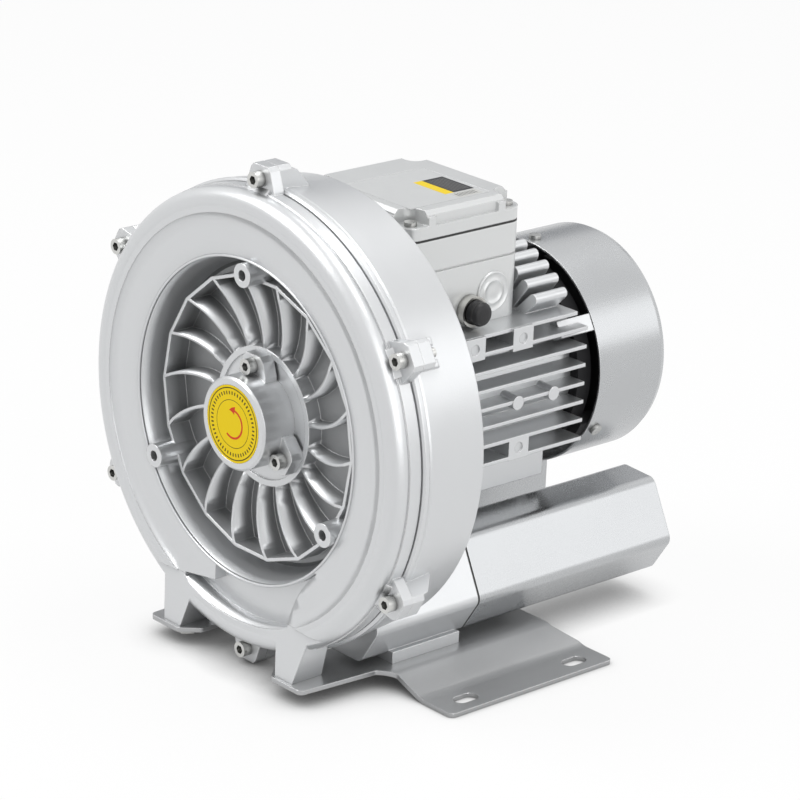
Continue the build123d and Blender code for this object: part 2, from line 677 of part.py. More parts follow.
def bearing_ring(front, width, bore, outer):
    """One plain ring of a ball bearing."""
    cylinder(across(front + width), outer, width, hole=bore)


def bearing_radii(bore, outer):
    """Outside of the inner ring, inside of the outer ring and the circle of the balls."""
    wall = (outer - bore) * 0.28
    return bore + wall, outer - wall, (bore + outer) / 2


def ball_set(front, width, bore, outer):
    """Balls between the two rings, with the two thin rings of their cage."""
    inner_land, outer_land, ball_circle = bearing_radii(bore, outer)
    radius = (outer_land - inner_land) / 2 - BALL_SLACK
    middle = SPLIT_Y + front + width / 2
    spots = [polar(ball_circle, 360 / BALL_COUNT * i + 90) for i in range(BALL_COUNT)]
    with Locations(*[(x, middle, SHAFT_HEIGHT + z) for x, z in spots]):
        Sphere(radius)
    for side in (-1, 1):
        cage_rear = front + width / 2 + side * (radius + CAGE_SLACK + CAGE_SHEET / 2) + CAGE_SHEET / 2
        cylinder(across(cage_rear), ball_circle + radius * 0.6, CAGE_SHEET, hole=ball_circle - radius * 0.6)


front_lands = bearing_radii(JOURNAL_R, FRONT_BEARING_R)
rear_lands = bearing_radii(REAR_JOURNAL_R, REAR_BEARING_R)

with BuildPart() as front_bearing_outer:
    bearing_ring(FRONT_BEARING, FRONT_BEARING_WIDTH, front_lands[1], FRONT_BEARING_R)
with BuildPart() as front_bearing_inner:
    bearing_ring(FRONT_BEARING, FRONT_BEARING_WIDTH, JOURNAL_R, front_lands[0])
with BuildPart() as front_bearing_balls:
    ball_set(FRONT_BEARING, FRONT_BEARING_WIDTH, JOURNAL_R, FRONT_BEARING_R)
with BuildPart() as rear_bearing_outer:
    bearing_ring(rear_bearing_front, REAR_BEARING_WIDTH, rear_lands[1], REAR_BEARING_R)
with BuildPart() as rear_bearing_inner:
    bearing_ring(rear_bearing_front, REAR_BEARING_WIDTH, REAR_JOURNAL_R, rear_lands[0])
with BuildPart() as rear_bearing_balls:
    ball_set(rear_bearing_front, REAR_BEARING_WIDTH, REAR_JOURNAL_R, REAR_BEARING_R)

# Seal behind the front bearing and spring washer in front of it
with BuildPart() as shaft_seal:
    cylinder(across(bearing_rear + SEAL_WIDTH), FRONT_BEARING_R - 5, SEAL_WIDTH, hole=SLEEVE_R + SEAL_GAP)

with BuildPart() as wave_spring:
    cylinder(across(FRONT_BEARING), FRONT_BEARING_R - SPRING_GAP, SPRING_HEIGHT, hole=FRONT_BEARING_R - 4)

# Bearing cap with its three screws and the round label
cap_shoulder = FRONT_BEARING - SPRING_HEIGHT
hub_recess = HUB_FRONT + HUB_RING_STEP
hub_seat = HUB_FRONT
with BuildPart() as bearing_cap:
    turned((CAP_FRONT, 0), (CAP_FRONT, CAP_R - 1.5), (CAP_FRONT + 1.5, CAP_R), (hub_recess, CAP_R),
           (hub_recess, CAP_R - CAP_WALL), (nose_front - 0.3, CAP_R - CAP_WALL),
           (cap_shoulder, CAP_R - CAP_WALL), (cap_shoulder, FRONT_BEARING_R - 5),
           (CAP_FRONT + 4, FRONT_BEARING_R - 5), (CAP_FRONT + 4, 0))
    for angle in TAPPED_BOSS_ANGLES:
        cap_lug_half = CAP_LUG_WIDTH / 2
        with BuildSketch(across(hub_seat)) as cap_lug:
            with BuildLine(Location((0, 0, 0), (0, 0, angle))):
                Polyline((0, CAP_LUG_FOOT / 2), (CAP_R, CAP_LUG_FOOT / 2),
                         (CAP_LUG_OUTER_R - CAP_LUG_CORNER, cap_lug_half),
                         (CAP_LUG_OUTER_R, cap_lug_half - CAP_LUG_CORNER),
                         (CAP_LUG_OUTER_R, CAP_LUG_CORNER - cap_lug_half),
                         (CAP_LUG_OUTER_R - CAP_LUG_CORNER, -cap_lug_half), (CAP_R, -CAP_LUG_FOOT / 2),
                         (0, -CAP_LUG_FOOT / 2), close=True)
            make_face()
            Circle(CAP_R - CAP_WALL, mode=Mode.SUBTRACT)
        extrude(cap_lug.sketch, amount=CAP_LUG_THICKNESS)
        seat = across(hub_seat - CAP_LUG_THICKNESS, *polar(CAP_LUG_R, angle))
        cylinder(seat, M6_CLEARANCE_R, -CAP_LUG_THICKNESS, mode=Mode.SUBTRACT)
    cylinder(across(CAP_FRONT), LABEL_R + 0.2, -LABEL_THICKNESS, mode=Mode.SUBTRACT)

with BuildPart() as label_disc:
    cylinder(across(CAP_FRONT), LABEL_R, -LABEL_THICKNESS)

with BuildPart() as bearing_cap_screws:
    for angle in TAPPED_BOSS_ANGLES:
        cap_screw(across(hub_seat - CAP_LUG_THICKNESS, *polar(CAP_LUG_R, angle)), M6_R, CAP_SCREW_LENGTH)

with BuildPart() as cover_screws:
    for angle in lug_angles:
        cap_screw(across(LUG_FRONT, *polar(LUG_SCREW_R, angle)), M6_R, LUG_SCREW_LENGTH)

# Motor housing: flanged tube with flat side fins, radial top fins behind the terminal box, and its shelf
fin_heights = [FIN_PITCH * i for i in range(-3, 4)]
stator_r = HOUSING_R - HOUSING_WALL
top_fin_first = 90 - TOP_FIN_PITCH * (TOP_FIN_COUNT - 1) / 2
with BuildPart() as motor_housing:
    with BuildSketch(across(HOUSING_REAR)) as fins:
        Circle(HOUSING_R)
        for height in fin_heights:
            with Locations((0, height)):
                Rectangle(2 * FIN_REACH, FIN_THICKNESS)
            with Locations((height, -FIN_REACH / 2)):
                Rectangle(FIN_THICKNESS, FIN_REACH)
    extrude(fins.sketch, amount=HOUSING_REAR - FIN_START)
    with BuildSketch(across(SHELF_REAR)) as shelf:
        with Locations((0, SHELF_Z)):
            Rectangle(2 * FIN_REACH - 4, FIN_THICKNESS)
    extrude(shelf.sketch, amount=SHELF_REAR - FIN_START)
    with BuildSketch(across(TOP_FIN_REAR)) as top_fins:
        for i in range(TOP_FIN_COUNT):
            angle = top_fin_first + TOP_FIN_PITCH * i
            middle_r = (HOUSING_R + TOP_FIN_R) / 2 - 2
            with Locations(Location((*polar(middle_r, angle), 0), (0, 0, angle))):
                SlotOverall(TOP_FIN_R - HOUSING_R + 4, TOP_FIN_WIDTH)
    extrude(top_fins.sketch, amount=TOP_FIN_REAR - TOP_FIN_FRONT)
    cylinder(across(FIN_START), HOUSING_R, FIN_START - CASING_LENGTH)
    cylinder(across(CASING_LENGTH + HOUSING_FLANGE), FLANGE_OUTER_R - 1, HOUSING_FLANGE)
    # Lugs that reach back to the fan cover
    for angle in HOUSING_LUG_ANGLES:
        lug_middle = polar((END_SHIELD_R + HOUSING_LUG_OUTER_R) / 2, angle)
        with BuildSketch(across(HOUSING_LUG_REAR)) as housing_lug:
            with Locations(Location((*lug_middle, 0), (0, 0, angle))):
                Rectangle(HOUSING_LUG_OUTER_R - END_SHIELD_R, HOUSING_LUG_WIDTH)
            Circle(END_SHIELD_R + 0.4, mode=Mode.SUBTRACT)
        extrude(housing_lug.sketch, amount=HOUSING_LUG_REAR - HOUSING_LUG_FRONT)
    # Pads and round bosses on the side fins
    for side in (-1, 1):
        facing = (side, 0, 0)
        for distance, z in SIDE_PADS:
            seat = Plane((side * FIN_REACH, SPLIT_Y + distance, SHAFT_HEIGHT + z), x_dir=(0, 1, 0),
                         z_dir=facing)
            with BuildSketch(seat) as side_pad:
                Rectangle(SIDE_PAD_LENGTH, SIDE_PAD_HEIGHT)
            extrude(side_pad.sketch, amount=-SIDE_PAD_DEPTH)
            cylinder(seat, SIDE_MARK_R, -1, mode=Mode.SUBTRACT)
        for distance, z in SIDE_BOSSES:
            seat = Plane((side * (FIN_REACH + 0.6), SPLIT_Y + distance, SHAFT_HEIGHT + z), x_dir=(0, 1, 0),
                         z_dir=facing)
            cylinder(seat, SIDE_BOSS_R, -SIDE_BOSS_DEPTH)
    cylinder(across(HOUSING_REAR), stator_r, HOUSING_REAR - CASING_LENGTH, mode=Mode.SUBTRACT)
    for x, z in flange_bolts:
        cylinder(across(CASING_LENGTH + HOUSING_FLANGE, x, z), M6_CLEARANCE_R, HOUSING_FLANGE,
                 mode=Mode.SUBTRACT)
    for angle in SHIELD_SCREW_ANGLES:
        cylinder(across(HOUSING_REAR, *polar(SHIELD_SCREW_R, angle)), SHIELD_SCREW, SHIELD_SCREW_DEPTH,
                 mode=Mode.SUBTRACT)

with BuildPart() as motor_flange_bolts:
    for x, z in flange_bolts:
        hex_screw(Plane(across(CASING_LENGTH + HOUSING_FLANGE, x, z).origin, x_dir=(1, 0, 0),
                        z_dir=(0, 1, 0)), M6_R, FLANGE_BOLT_LENGTH)

# Stator and rotor
with BuildPart() as stator_core:
    cylinder(across(STATOR_FRONT + STATOR_LENGTH), stator_r, STATOR_LENGTH, hole=STATOR_BORE_R)
with BuildPart() as stator_windings:
    for start in (STATOR_FRONT, STATOR_FRONT + STATOR_LENGTH + WINDING_REACH):
        cylinder(across(start), stator_r - 5, WINDING_REACH, hole=STATOR_BORE_R + 4)
with BuildPart() as rotor_core:
    cylinder(across(STATOR_FRONT + STATOR_LENGTH), STATOR_BORE_R - AIR_GAP, STATOR_LENGTH,
             hole=ROTOR_SHAFT_R)

# End shield with the rear bearing seat
shield_rim = END_SHIELD_R - SHIELD_WALL
shield_back = HOUSING_REAR + SHIELD_WALL
bearing_wall = REAR_BEARING_R + SHIELD_WALL
spigot_r = stator_r - 4
with BuildPart() as end_shield:
    turned((HOUSING_REAR, END_SHIELD_R), (END_SHIELD_REAR, END_SHIELD_R), (END_SHIELD_REAR, shield_rim),
           (shield_back, shield_rim), (shield_back, bearing_wall), (rear_bearing_back + 2, bearing_wall),
           (rear_bearing_back + 2, REAR_JOURNAL_R + 1.5), (rear_bearing_back, REAR_JOURNAL_R + 1.5),
           (rear_bearing_back, REAR_BEARING_R), (rear_bearing_front, REAR_BEARING_R),
           (rear_bearing_front, spigot_r), (HOUSING_REAR - SPIGOT, spigot_r),
           (HOUSING_REAR - SPIGOT, stator_r), (HOUSING_REAR, stator_r))
    for angle in SHIELD_SCREW_ANGLES:
        spot = polar(SHIELD_SCREW_R, angle)
        cylinder(across(shield_back, *spot), SHIELD_SCREW + 0.3, SHIELD_WALL, mode=Mode.SUBTRACT)
    # Pads that carry the fan cover
    for angle in FAN_COVER_SCREW_ANGLES:
        with BuildSketch(across(FAN_COVER_FRONT + PAD_LENGTH)) as pad:
            with Locations(Location((*polar(pad_middle_r, angle), 0), (0, 0, angle))):
                Rectangle(2 * (fan_cover_inner_r - pad_middle_r), PAD_WIDTH)
            Circle(fan_cover_inner_r, mode=Mode.INTERSECT)
        extrude(pad.sketch, amount=PAD_LENGTH + FAN_COVER_FRONT - shield_back)
        cylinder(half_plane_seat(angle), FAN_SCREW_R, -10, mode=Mode.SUBTRACT)

with BuildPart() as end_shield_screws:
    for angle in SHIELD_SCREW_ANGLES:
        x, z = polar(SHIELD_SCREW_R, angle)
        hex_screw(Plane(across(shield_back, x, z).origin, x_dir=(1, 0, 0), z_dir=(0, 1, 0)),
                  SHIELD_SCREW, SHIELD_SCREW_DEPTH + SHIELD_WALL)

# Cooling fan on the rear shaft end
with BuildPart() as cooling_fan:
    cylinder(across(FAN_FRONT + FAN_LENGTH), FAN_HUB_R, FAN_LENGTH, hole=REAR_JOURNAL_R)
    cylinder(across(FAN_FRONT + 2.5), FAN_R, 2.5, hole=REAR_JOURNAL_R)
    with BuildSketch(across(FAN_FRONT + FAN_LENGTH)) as fan_blades:
        with PolarLocations((FAN_HUB_R + FAN_R) / 2, FAN_BLADES):
            Rectangle(FAN_R - FAN_HUB_R + 1, 2)
    extrude(fan_blades.sketch, amount=FAN_LENGTH)

with BuildPart() as fan_clip:
    cylinder(across(FAN_FRONT + FAN_LENGTH + 1.2), REAR_JOURNAL_R + 3, 1.2, hole=REAR_JOURNAL_R)

# Fan cover with a rear grille of arched slots
with BuildPart() as fan_cover:
    turned((FAN_COVER_FRONT, FAN_COVER_R), (FAN_COVER_REAR - 6, FAN_COVER_R),
           (FAN_COVER_REAR - 1.8, FAN_COVER_R - 1.8), (FAN_COVER_REAR, FAN_COVER_R - 6),
           (FAN_COVER_REAR, 0), (FAN_COVER_REAR - FAN_COVER_SHEET, 0),
           (FAN_COVER_REAR - FAN_COVER_SHEET, FAN_COVER_R - 7), (FAN_COVER_REAR - 7, fan_cover_inner_r),
           (FAN_COVER_FRONT, fan_cover_inner_r))
    with BuildSketch(across(FAN_COVER_REAR)) as grille:
        for ring_r in GRILLE_RINGS:
            Circle(ring_r + GRILLE_SLOT / 2)
            Circle(ring_r - GRILLE_SLOT / 2, mode=Mode.SUBTRACT)
        with Locations(Location((0, 0, 0), (0, 0, 45)), Location((0, 0, 0), (0, 0, 135))):
            Rectangle(2 * FAN_COVER_R, GRILLE_BAR, mode=Mode.SUBTRACT)
    extrude(grille.sketch, amount=FAN_COVER_SHEET, mode=Mode.SUBTRACT)
    for angle in FAN_COVER_SCREW_ANGLES:
        cylinder(half_plane_seat(angle), FAN_SCREW_R + 0.3, -10, mode=Mode.SUBTRACT)

with BuildPart() as fan_cover_screws:
    for angle in FAN_COVER_SCREW_ANGLES:
        seat = half_plane_seat(angle)
        cylinder(seat, FAN_SCREW_R * 2, 2.4)
        cylinder(seat, FAN_SCREW_R, -FAN_SCREW_LENGTH)

# Terminal box, which stands on the housing's shelf and straddles the tube
box_middle_y = SPLIT_Y + (BOX_FRONT + BOX_REAR) / 2
box_length = BOX_REAR - BOX_FRONT
box_width = 2 * BOX_HALF
box_floor_z = SHAFT_HEIGHT + SHELF_Z + FIN_THICKNESS / 2
box_rim_z = SHAFT_HEIGHT + BOX_TOP_Z
board_z = SHAFT_HEIGHT + BOX_FLOOR_R
lid_bottom = box_rim_z + GASKET
lid_screw_z = lid_bottom + LID_RIM
lid_top = lid_bottom + LID_HEIGHT
lid_screw_places = [(x * (BOX_HALF - LID_SCREW_INSET), box_middle_y + y * (box_length / 2 - LID_SCREW_INSET))
                    for x in (-1, 1) for y in (-1, 1)]
gland_middle = (BOX_HALF, SPLIT_Y + GLAND_DISTANCE, SHAFT_HEIGHT + GLAND_Z)
knockout_middle = (BOX_HALF, SPLIT_Y + KNOCKOUT_DISTANCE, SHAFT_HEIGHT + KNOCKOUT_Z)


def box_block(bottom, height, inset=0.0, mode=Mode.ADD):
    """Upright block with rounded corners over the terminal box outline."""
    with BuildSketch(Plane.XY.offset(bottom)) as outline:
        with Locations((0, box_middle_y)):
            RectangleRounded(box_width - 2 * inset, box_length - 2 * inset, BOX_CORNER - inset)
    extrude(outline.sketch, amount=height, mode=mode)


def lid_posts(bottom, radius, height, mode=Mode.ADD):
    """Upright bars at the four lid screws."""
    for x, y in lid_screw_places:
        cylinder(Plane((x, y, bottom)), radius, height, mode)


def side_plane(middle):
    """Plane on the right hand wall that faces +X."""
    return Plane(middle, x_dir=(0, 1, 0), z_dir=(1, 0, 0))


with BuildPart() as terminal_box:
    box_block(box_floor_z, box_rim_z - box_floor_z, BOX_WALL)
    cylinder(across(BOX_REAR), BOX_FLOOR_R, box_length, mode=Mode.INTERSECT)
    box_block(box_floor_z, box_rim_z - box_floor_z)
    with BuildSketch(Plane.XY.offset(box_floor_z)) as inside:
        with Locations((0, box_middle_y)):
            RectangleRounded(box_width - 2 * BOX_WALL, box_length - 2 * BOX_WALL, BOX_CORNER - BOX_WALL)
    hollow = extrude(inside.sketch, amount=box_rim_z - box_floor_z, mode=Mode.PRIVATE)
    with BuildPart(mode=Mode.PRIVATE) as arch:
        cylinder(across(BOX_REAR), BOX_FLOOR_R, box_length)
    add(hollow - arch.part, mode=Mode.SUBTRACT)
    lid_posts(box_rim_z - LID_SCREW_LENGTH - 2, LID_POST_R, LID_SCREW_LENGTH + 2)
    cylinder(across(BOX_REAR), HOUSING_R + 0.3, box_length, mode=Mode.SUBTRACT)
    lid_posts(box_rim_z - LID_SCREW_LENGTH, LID_SCREW_R, LID_SCREW_LENGTH, Mode.SUBTRACT)
    # Seam between the lower and the upper casting
    with BuildSketch(Plane.XY.offset(SHAFT_HEIGHT + BOX_SEAM_Z)) as seam:
        with Locations((0, box_middle_y)):
            RectangleRounded(box_width, box_length, BOX_CORNER)
            RectangleRounded(box_width - 2, box_length - 2, BOX_CORNER - 1, mode=Mode.SUBTRACT)
    extrude(seam.sketch, amount=BOX_SEAM, mode=Mode.SUBTRACT)
    cylinder(side_plane(gland_middle), GLAND_R, -BOX_WALL * 2, mode=Mode.SUBTRACT)
    cylinder(side_plane(knockout_middle), KNOCKOUT_R, -BOX_WALL * 2, mode=Mode.SUBTRACT)

with BuildPart() as lid_gasket:
    box_block(box_rim_z, GASKET)
    box_block(box_rim_z, GASKET, BOX_WALL, Mode.SUBTRACT)
    lid_posts(box_rim_z, LID_POST_R, GASKET)
    lid_posts(box_rim_z, LID_SCREW_R + 0.3, GASKET, Mode.SUBTRACT)

with BuildPart() as terminal_lid:
    box_block(lid_bottom, LID_HEIGHT, LID_INSET)
    chamfer(terminal_lid.faces().sort_by(Axis.Z)[-1].edges(), LID_EDGE)
    box_block(lid_bottom, LID_RIM)
    box_block(lid_bottom, LID_HEIGHT - BOX_WALL, BOX_WALL + LID_INSET, Mode.SUBTRACT)
    lid_posts(lid_bottom, 2 * LID_NOTCH_R, LID_HEIGHT - BOX_WALL)
    with BuildSketch(Plane.XY.offset(lid_bottom)) as lid_outline:
        with Locations((0, box_middle_y)):
            RectangleRounded(box_width, box_length, BOX_CORNER)
    extrude(lid_outline.sketch, amount=LID_HEIGHT, mode=Mode.INTERSECT)
    with BuildSketch(Plane.XY.offset(lid_screw_z)) as notches:
        with Locations((0, box_middle_y)):
            with GridLocations(box_width, box_length, 2, 2):
                RectangleRounded(4 * LID_NOTCH_R, 4 * LID_NOTCH_R, LID_NOTCH_R)
    extrude(notches.sketch, amount=LID_HEIGHT - LID_RIM, mode=Mode.SUBTRACT)
    lid_posts(lid_bottom, LID_SCREW_R + 0.3, LID_HEIGHT, Mode.SUBTRACT)
    with Locations((NAME_PLATE_X, SPLIT_Y + NAME_PLATE_DISTANCE, lid_top - PLATE_RECESS / 2)):
        Box(NAME_PLATE_WIDTH + 0.4, NAME_PLATE_LENGTH + 0.4, PLATE_RECESS, mode=Mode.SUBTRACT)

with BuildPart() as name_plate:
    with Locations((NAME_PLATE_X, SPLIT_Y + NAME_PLATE_DISTANCE, lid_top - PLATE_RECESS / 2)):
        Box(NAME_PLATE_WIDTH, NAME_PLATE_LENGTH, PLATE_RECESS)

with BuildPart() as lid_screws:
    lid_posts(lid_screw_z, LID_SCREW_R * 2, LID_SCREW_R * 1.3)
    lid_posts(box_rim_z - LID_SCREW_LENGTH + 2, LID_SCREW_R, lid_screw_z - box_rim_z + LID_SCREW_LENGTH - 2)

with BuildPart() as terminal_board:
    with Locations((0, box_middle_y, board_z + BOARD_HEIGHT / 2)):
        Box(BOARD_WIDTH, BOARD_LENGTH, BOARD_HEIGHT)
with BuildPart() as terminal_studs:
    for x in (-1, 1):
        for y in (-1, 0, 1):
            stud_foot = (x * BOARD_WIDTH / 4, box_middle_y + y * STUD_PITCH, board_z + BOARD_HEIGHT)
            cylinder(Plane(stud_foot), STUD_R, STUD_LENGTH)

# Cable gland with its blanking plug, and a second closed entry
with BuildPart() as gland_body:
    plane = side_plane(gland_middle)
    cylinder(plane, GLAND_R + 3, 6, hole=GLAND_BORE_R)
    cylinder(plane, GLAND_R, -BOX_WALL - GLAND_TAIL, hole=GLAND_BORE_R)
with BuildPart() as gland_lock_nut:
    with BuildSketch(side_plane(gland_middle).offset(-BOX_WALL)) as nut:
        RegularPolygon(GLAND_R + 3, 6, major_radius=False)
        Circle(GLAND_R, mode=Mode.SUBTRACT)
    extrude(nut.sketch, amount=-GLAND_TAIL)
with BuildPart() as gland_plug:
    with BuildSketch(side_plane(gland_middle).offset(6)) as plug_foot:
        Circle(GLAND_R + 1)
    with BuildSketch(side_plane(gland_middle).offset(6 + PLUG_LENGTH)) as plug_tip:
        Circle(PLUG_TIP_R)
    loft(sections=[plug_foot.sketch, plug_tip.sketch])
    cylinder(side_plane(gland_middle).offset(6), GLAND_BORE_R, -8)
with BuildPart() as knockout_plug:
    plane = side_plane(knockout_middle)
    cylinder(plane, KNOCKOUT_R + 2.5, 2.5)
    cylinder(plane, KNOCKOUT_R, -BOX_WALL)

# Silencers: lined tubes between the port blocks and threaded end plates
with BuildPart() as silencer_tube_right:
    extrude(silencer_section(REAR_REACH), amount=REAR_REACH - SILENCER_FRONT)
    extrude(silencer_section(REAR_REACH, SILENCER_WALL), amount=REAR_REACH - SILENCER_FRONT,
            mode=Mode.SUBTRACT)
with BuildPart() as silencer_end_right:
    extrude(silencer_section(REAR_REACH - END_INSET, SILENCER_WALL), amount=END_PLATE)
    collar = across(REAR_REACH - END_INSET, PORT_X, PORT_Z)
    cylinder(collar, PORT_R + PORT_WALL, PORT_LENGTH)
    extrude(silencer_section(REAR_REACH - END_INSET, SILENCER_WALL), amount=PORT_LENGTH, mode=Mode.INTERSECT)
    cylinder(across(REAR_REACH - END_INSET, PORT_X, PORT_Z), PORT_R, PORT_LENGTH, mode=Mode.SUBTRACT)
with BuildPart() as silencer_foam_right:
    foam_rear = REAR_REACH - END_INSET - PORT_LENGTH
    extrude(silencer_section(foam_rear, SILENCER_WALL), amount=foam_rear - SILENCER_FRONT)
    extrude(silencer_section(foam_rear, SILENCER_WALL + FOAM), amount=foam_rear - SILENCER_FRONT,
            mode=Mode.SUBTRACT)
with BuildPart() as silencer_gasket_right:
    extrude(silencer_section(SILENCER_FRONT), amount=SILENCER_GASKET)
    extrude(silencer_section(SILENCER_FRONT, DUCT_INSET), amount=SILENCER_GASKET, mode=Mode.SUBTRACT)

# Base plates: bent sheet with a wing, a front tongue and slots for the floor bolts
bend_drop = PLATE_TOP - SHEET
tongue_front = SPLIT_Y - FRONT_REACH
wing_front = SPLIT_Y + WING_FRONT
wing_rear = SPLIT_Y + WING_REAR
with BuildPart() as base_plate_right:
    with BuildSketch(Plane.XZ.offset(-SPLIT_Y - WING_REAR)) as sheet_section:
        with BuildLine():
            top = FilletPolyline((PLATE_INNER_X, PLATE_TOP), (PLATE_BEND_X, PLATE_TOP),
                                 (PLATE_FOOT_X, SHEET), (PLATE_OUTER_X, SHEET), radius=PLATE_BEND_R)
            bottom = FilletPolyline((PLATE_INNER_X, bend_drop), (PLATE_BEND_X - 1, bend_drop),
                                    (PLATE_FOOT_X - 1, 0), (PLATE_OUTER_X, 0), radius=PLATE_BEND_R)
            Line(top @ 0, bottom @ 0)
            Line(top @ 1, bottom @ 1)
        make_face()
    extrude(sheet_section.sketch, amount=WING_REAR + FRONT_REACH)
    # The wing narrows to the tongue in front
    with BuildSketch(Plane.XY) as outline:
        with BuildLine():
            FilletPolyline((PLATE_INNER_X, tongue_front + 12), (PLATE_INNER_X + 10, tongue_front),
                           (TONGUE_OUTER_X, tongue_front), (TONGUE_OUTER_X + 4, wing_front - 8),
                           (TONGUE_OUTER_X + 14, wing_front), (PLATE_OUTER_X, wing_front),
                           (PLATE_OUTER_X, wing_rear), (PLATE_FOOT_X - 4, wing_rear),
                           (PLATE_BEND_X + 4, wing_rear - 8), (PLATE_INNER_X, wing_rear - 8),
                           radius=PLATE_CORNER, close=True)
        make_face()
    extrude(outline.sketch, amount=PLATE_TOP + 1, mode=Mode.INTERSECT)
    with BuildSketch(Plane.XY) as slots:
        for i in range(2):
            with Locations(Location((SLOT_X, SPLIT_Y + SLOT_FRONT + i * SLOT_SPACING, 0), (0, 0, 90))):
                SlotOverall(SLOT_LENGTH, 2 * SLOT_R)
        with Locations((LEG_X, SPLIT_Y + LEG_FRONT / 2)):
            Circle(M8_R + 0.5)
        for x, y in foot_bolts:
            if x > 0:
                with Locations((x, y)):
                    Circle(M8_R + 0.5)
    extrude(slots.sketch, amount=PLATE_TOP + 1, mode=Mode.SUBTRACT)

below = (0, 0, -1)
with BuildPart() as base_front_bolts:
    for side in (-1, 1):
        hex_screw(Plane((side * LEG_X, SPLIT_Y + LEG_FRONT / 2, bend_drop), x_dir=(1, 0, 0), z_dir=below),
                  M8_R, LEG_BOLT_LENGTH)
with BuildPart() as base_rear_bolts:
    for x, y in foot_bolts:
        hex_screw(Plane((x, y, bend_drop), x_dir=(1, 0, 0), z_dir=below), M8_R, FOOT_HEIGHT)

mirrored = {}
for name, piece in (("silencer_tube", silencer_tube_right), ("silencer_end", silencer_end_right),
                    ("silencer_foam", silencer_foam_right), ("silencer_gasket", silencer_gasket_right),
                    ("base_plate", base_plate_right)):
    with BuildPart() as left:
        mirror(piece.part, about=Plane.YZ)
    mirrored[name + "_left"] = left
    mirrored[name + "_right"] = piece

pieces = {
    "front_cover": front_cover, "rear_casing": rear_casing, "cover_screws": cover_screws,
    "bearing_cap": bearing_cap, "bearing_cap_screws": bearing_cap_screws, "label_disc": label_disc,
    "front_bearing_outer": front_bearing_outer, "front_bearing_inner": front_bearing_inner,
    "front_bearing_balls": front_bearing_balls, "rear_bearing_outer": rear_bearing_outer,
    "rear_bearing_inner": rear_bearing_inner, "rear_bearing_balls": rear_bearing_balls,
    "wave_spring": wave_spring, "shaft_seal": shaft_seal, "impeller": impeller,
    "impeller_key": impeller_key, "spacer_sleeve": spacer_sleeve, "shaft_nut": shaft_nut,
    "motor_shaft": motor_shaft, "rotor_core": rotor_core, "stator_core": stator_core,
    "stator_windings": stator_windings, "motor_housing": motor_housing,
    "motor_flange_bolts": motor_flange_bolts, "end_shield": end_shield,
    "end_shield_screws": end_shield_screws, "cooling_fan": cooling_fan, "fan_clip": fan_clip,
    "fan_cover": fan_cover, "fan_cover_screws": fan_cover_screws, "terminal_box": terminal_box,
    "lid_gasket": lid_gasket, "terminal_lid": terminal_lid, "lid_screws": lid_screws,
    "name_plate": name_plate, "terminal_board": terminal_board, "terminal_studs": terminal_studs,
    "gland_body": gland_body, "gland_lock_nut": gland_lock_nut, "gland_plug": gland_plug,
    "knockout_plug": knockout_plug, "base_front_bolts": base_front_bolts,
    "base_rear_bolts": base_rear_bolts, **mirrored,
}
os.makedirs("parts", exist_ok=True)
for name, piece in pieces.items():
    piece.part.label = name
    export_step(piece.part, f"parts/{name}.step")
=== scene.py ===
"""Finish, small fittings and stage of a side channel blower. Metres, +Z up, the cover faces -Y."""
import math

import bmesh
import bpy
from bpy.props import FloatProperty, FloatVectorProperty, IntProperty, PointerProperty
from bpy.types import Operator, Panel, PropertyGroup
from mathutils import Matrix, Vector


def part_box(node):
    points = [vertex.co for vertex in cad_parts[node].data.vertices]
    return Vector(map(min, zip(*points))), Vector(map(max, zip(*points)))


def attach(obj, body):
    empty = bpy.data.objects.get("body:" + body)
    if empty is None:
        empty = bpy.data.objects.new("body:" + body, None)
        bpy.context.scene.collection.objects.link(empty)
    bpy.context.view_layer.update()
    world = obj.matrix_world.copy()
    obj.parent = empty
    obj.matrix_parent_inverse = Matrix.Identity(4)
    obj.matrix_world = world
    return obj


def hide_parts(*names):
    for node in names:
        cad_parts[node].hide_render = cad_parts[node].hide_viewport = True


bl_info = {
    "name": "Side channel blower",
    "version": (1, 0, 0),
    "blender": (4, 5, 0),
    "location": "3D View > Sidebar > Blower",
    "description": "Paint, metal, labels, fittings and stage of a side channel blower",
    "category": "Object",
}

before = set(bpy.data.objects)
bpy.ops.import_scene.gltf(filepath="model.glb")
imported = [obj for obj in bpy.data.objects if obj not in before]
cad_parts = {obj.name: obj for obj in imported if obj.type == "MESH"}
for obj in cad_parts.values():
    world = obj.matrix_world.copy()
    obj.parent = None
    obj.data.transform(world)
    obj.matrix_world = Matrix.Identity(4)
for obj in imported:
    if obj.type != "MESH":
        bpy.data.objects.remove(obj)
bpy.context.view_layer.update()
AXIS_Z = sum(corner[2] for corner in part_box("motor_shaft")) / 2
SPLIT_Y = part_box("rear_casing")[0][1]
FORWARD = (0.0, -1.0, 0.0)
TO_RIGHT = (1.0, 0.0, 0.0)
WHITE = (1.0, 1.0, 1.0)

# Paint: sizes of its patches and flakes, and how much each changes the tone and the gloss
PAINT_CLOUD, PAINT_FLAKE = 0.045, 0.0006
# Fall-off of the painted shade in corners
CORNER_SHADE_FALL = 1.4
CLOUD_TONE, FLAKE_TONE = 0.16, 0.10
CLOUD_GLOSS, FLAKE_GLOSS, WEAR_AND_HIGHLIGHT_GLOSS, WELL_GLOSS = 0.12, 0.08, 0.1, 0.16
# Pale edges, partly wear and partly a painted highlight: where they start, how fast they rise,
# their patches and their most
WEAR_AND_HIGHLIGHT_FROM, WEAR_AND_HIGHLIGHT_RISE, WEAR_AND_HIGHLIGHT_PATCHES, WEAR_AND_HIGHLIGHT_MOST = 0.985, 9.0, 0.25, 0.6
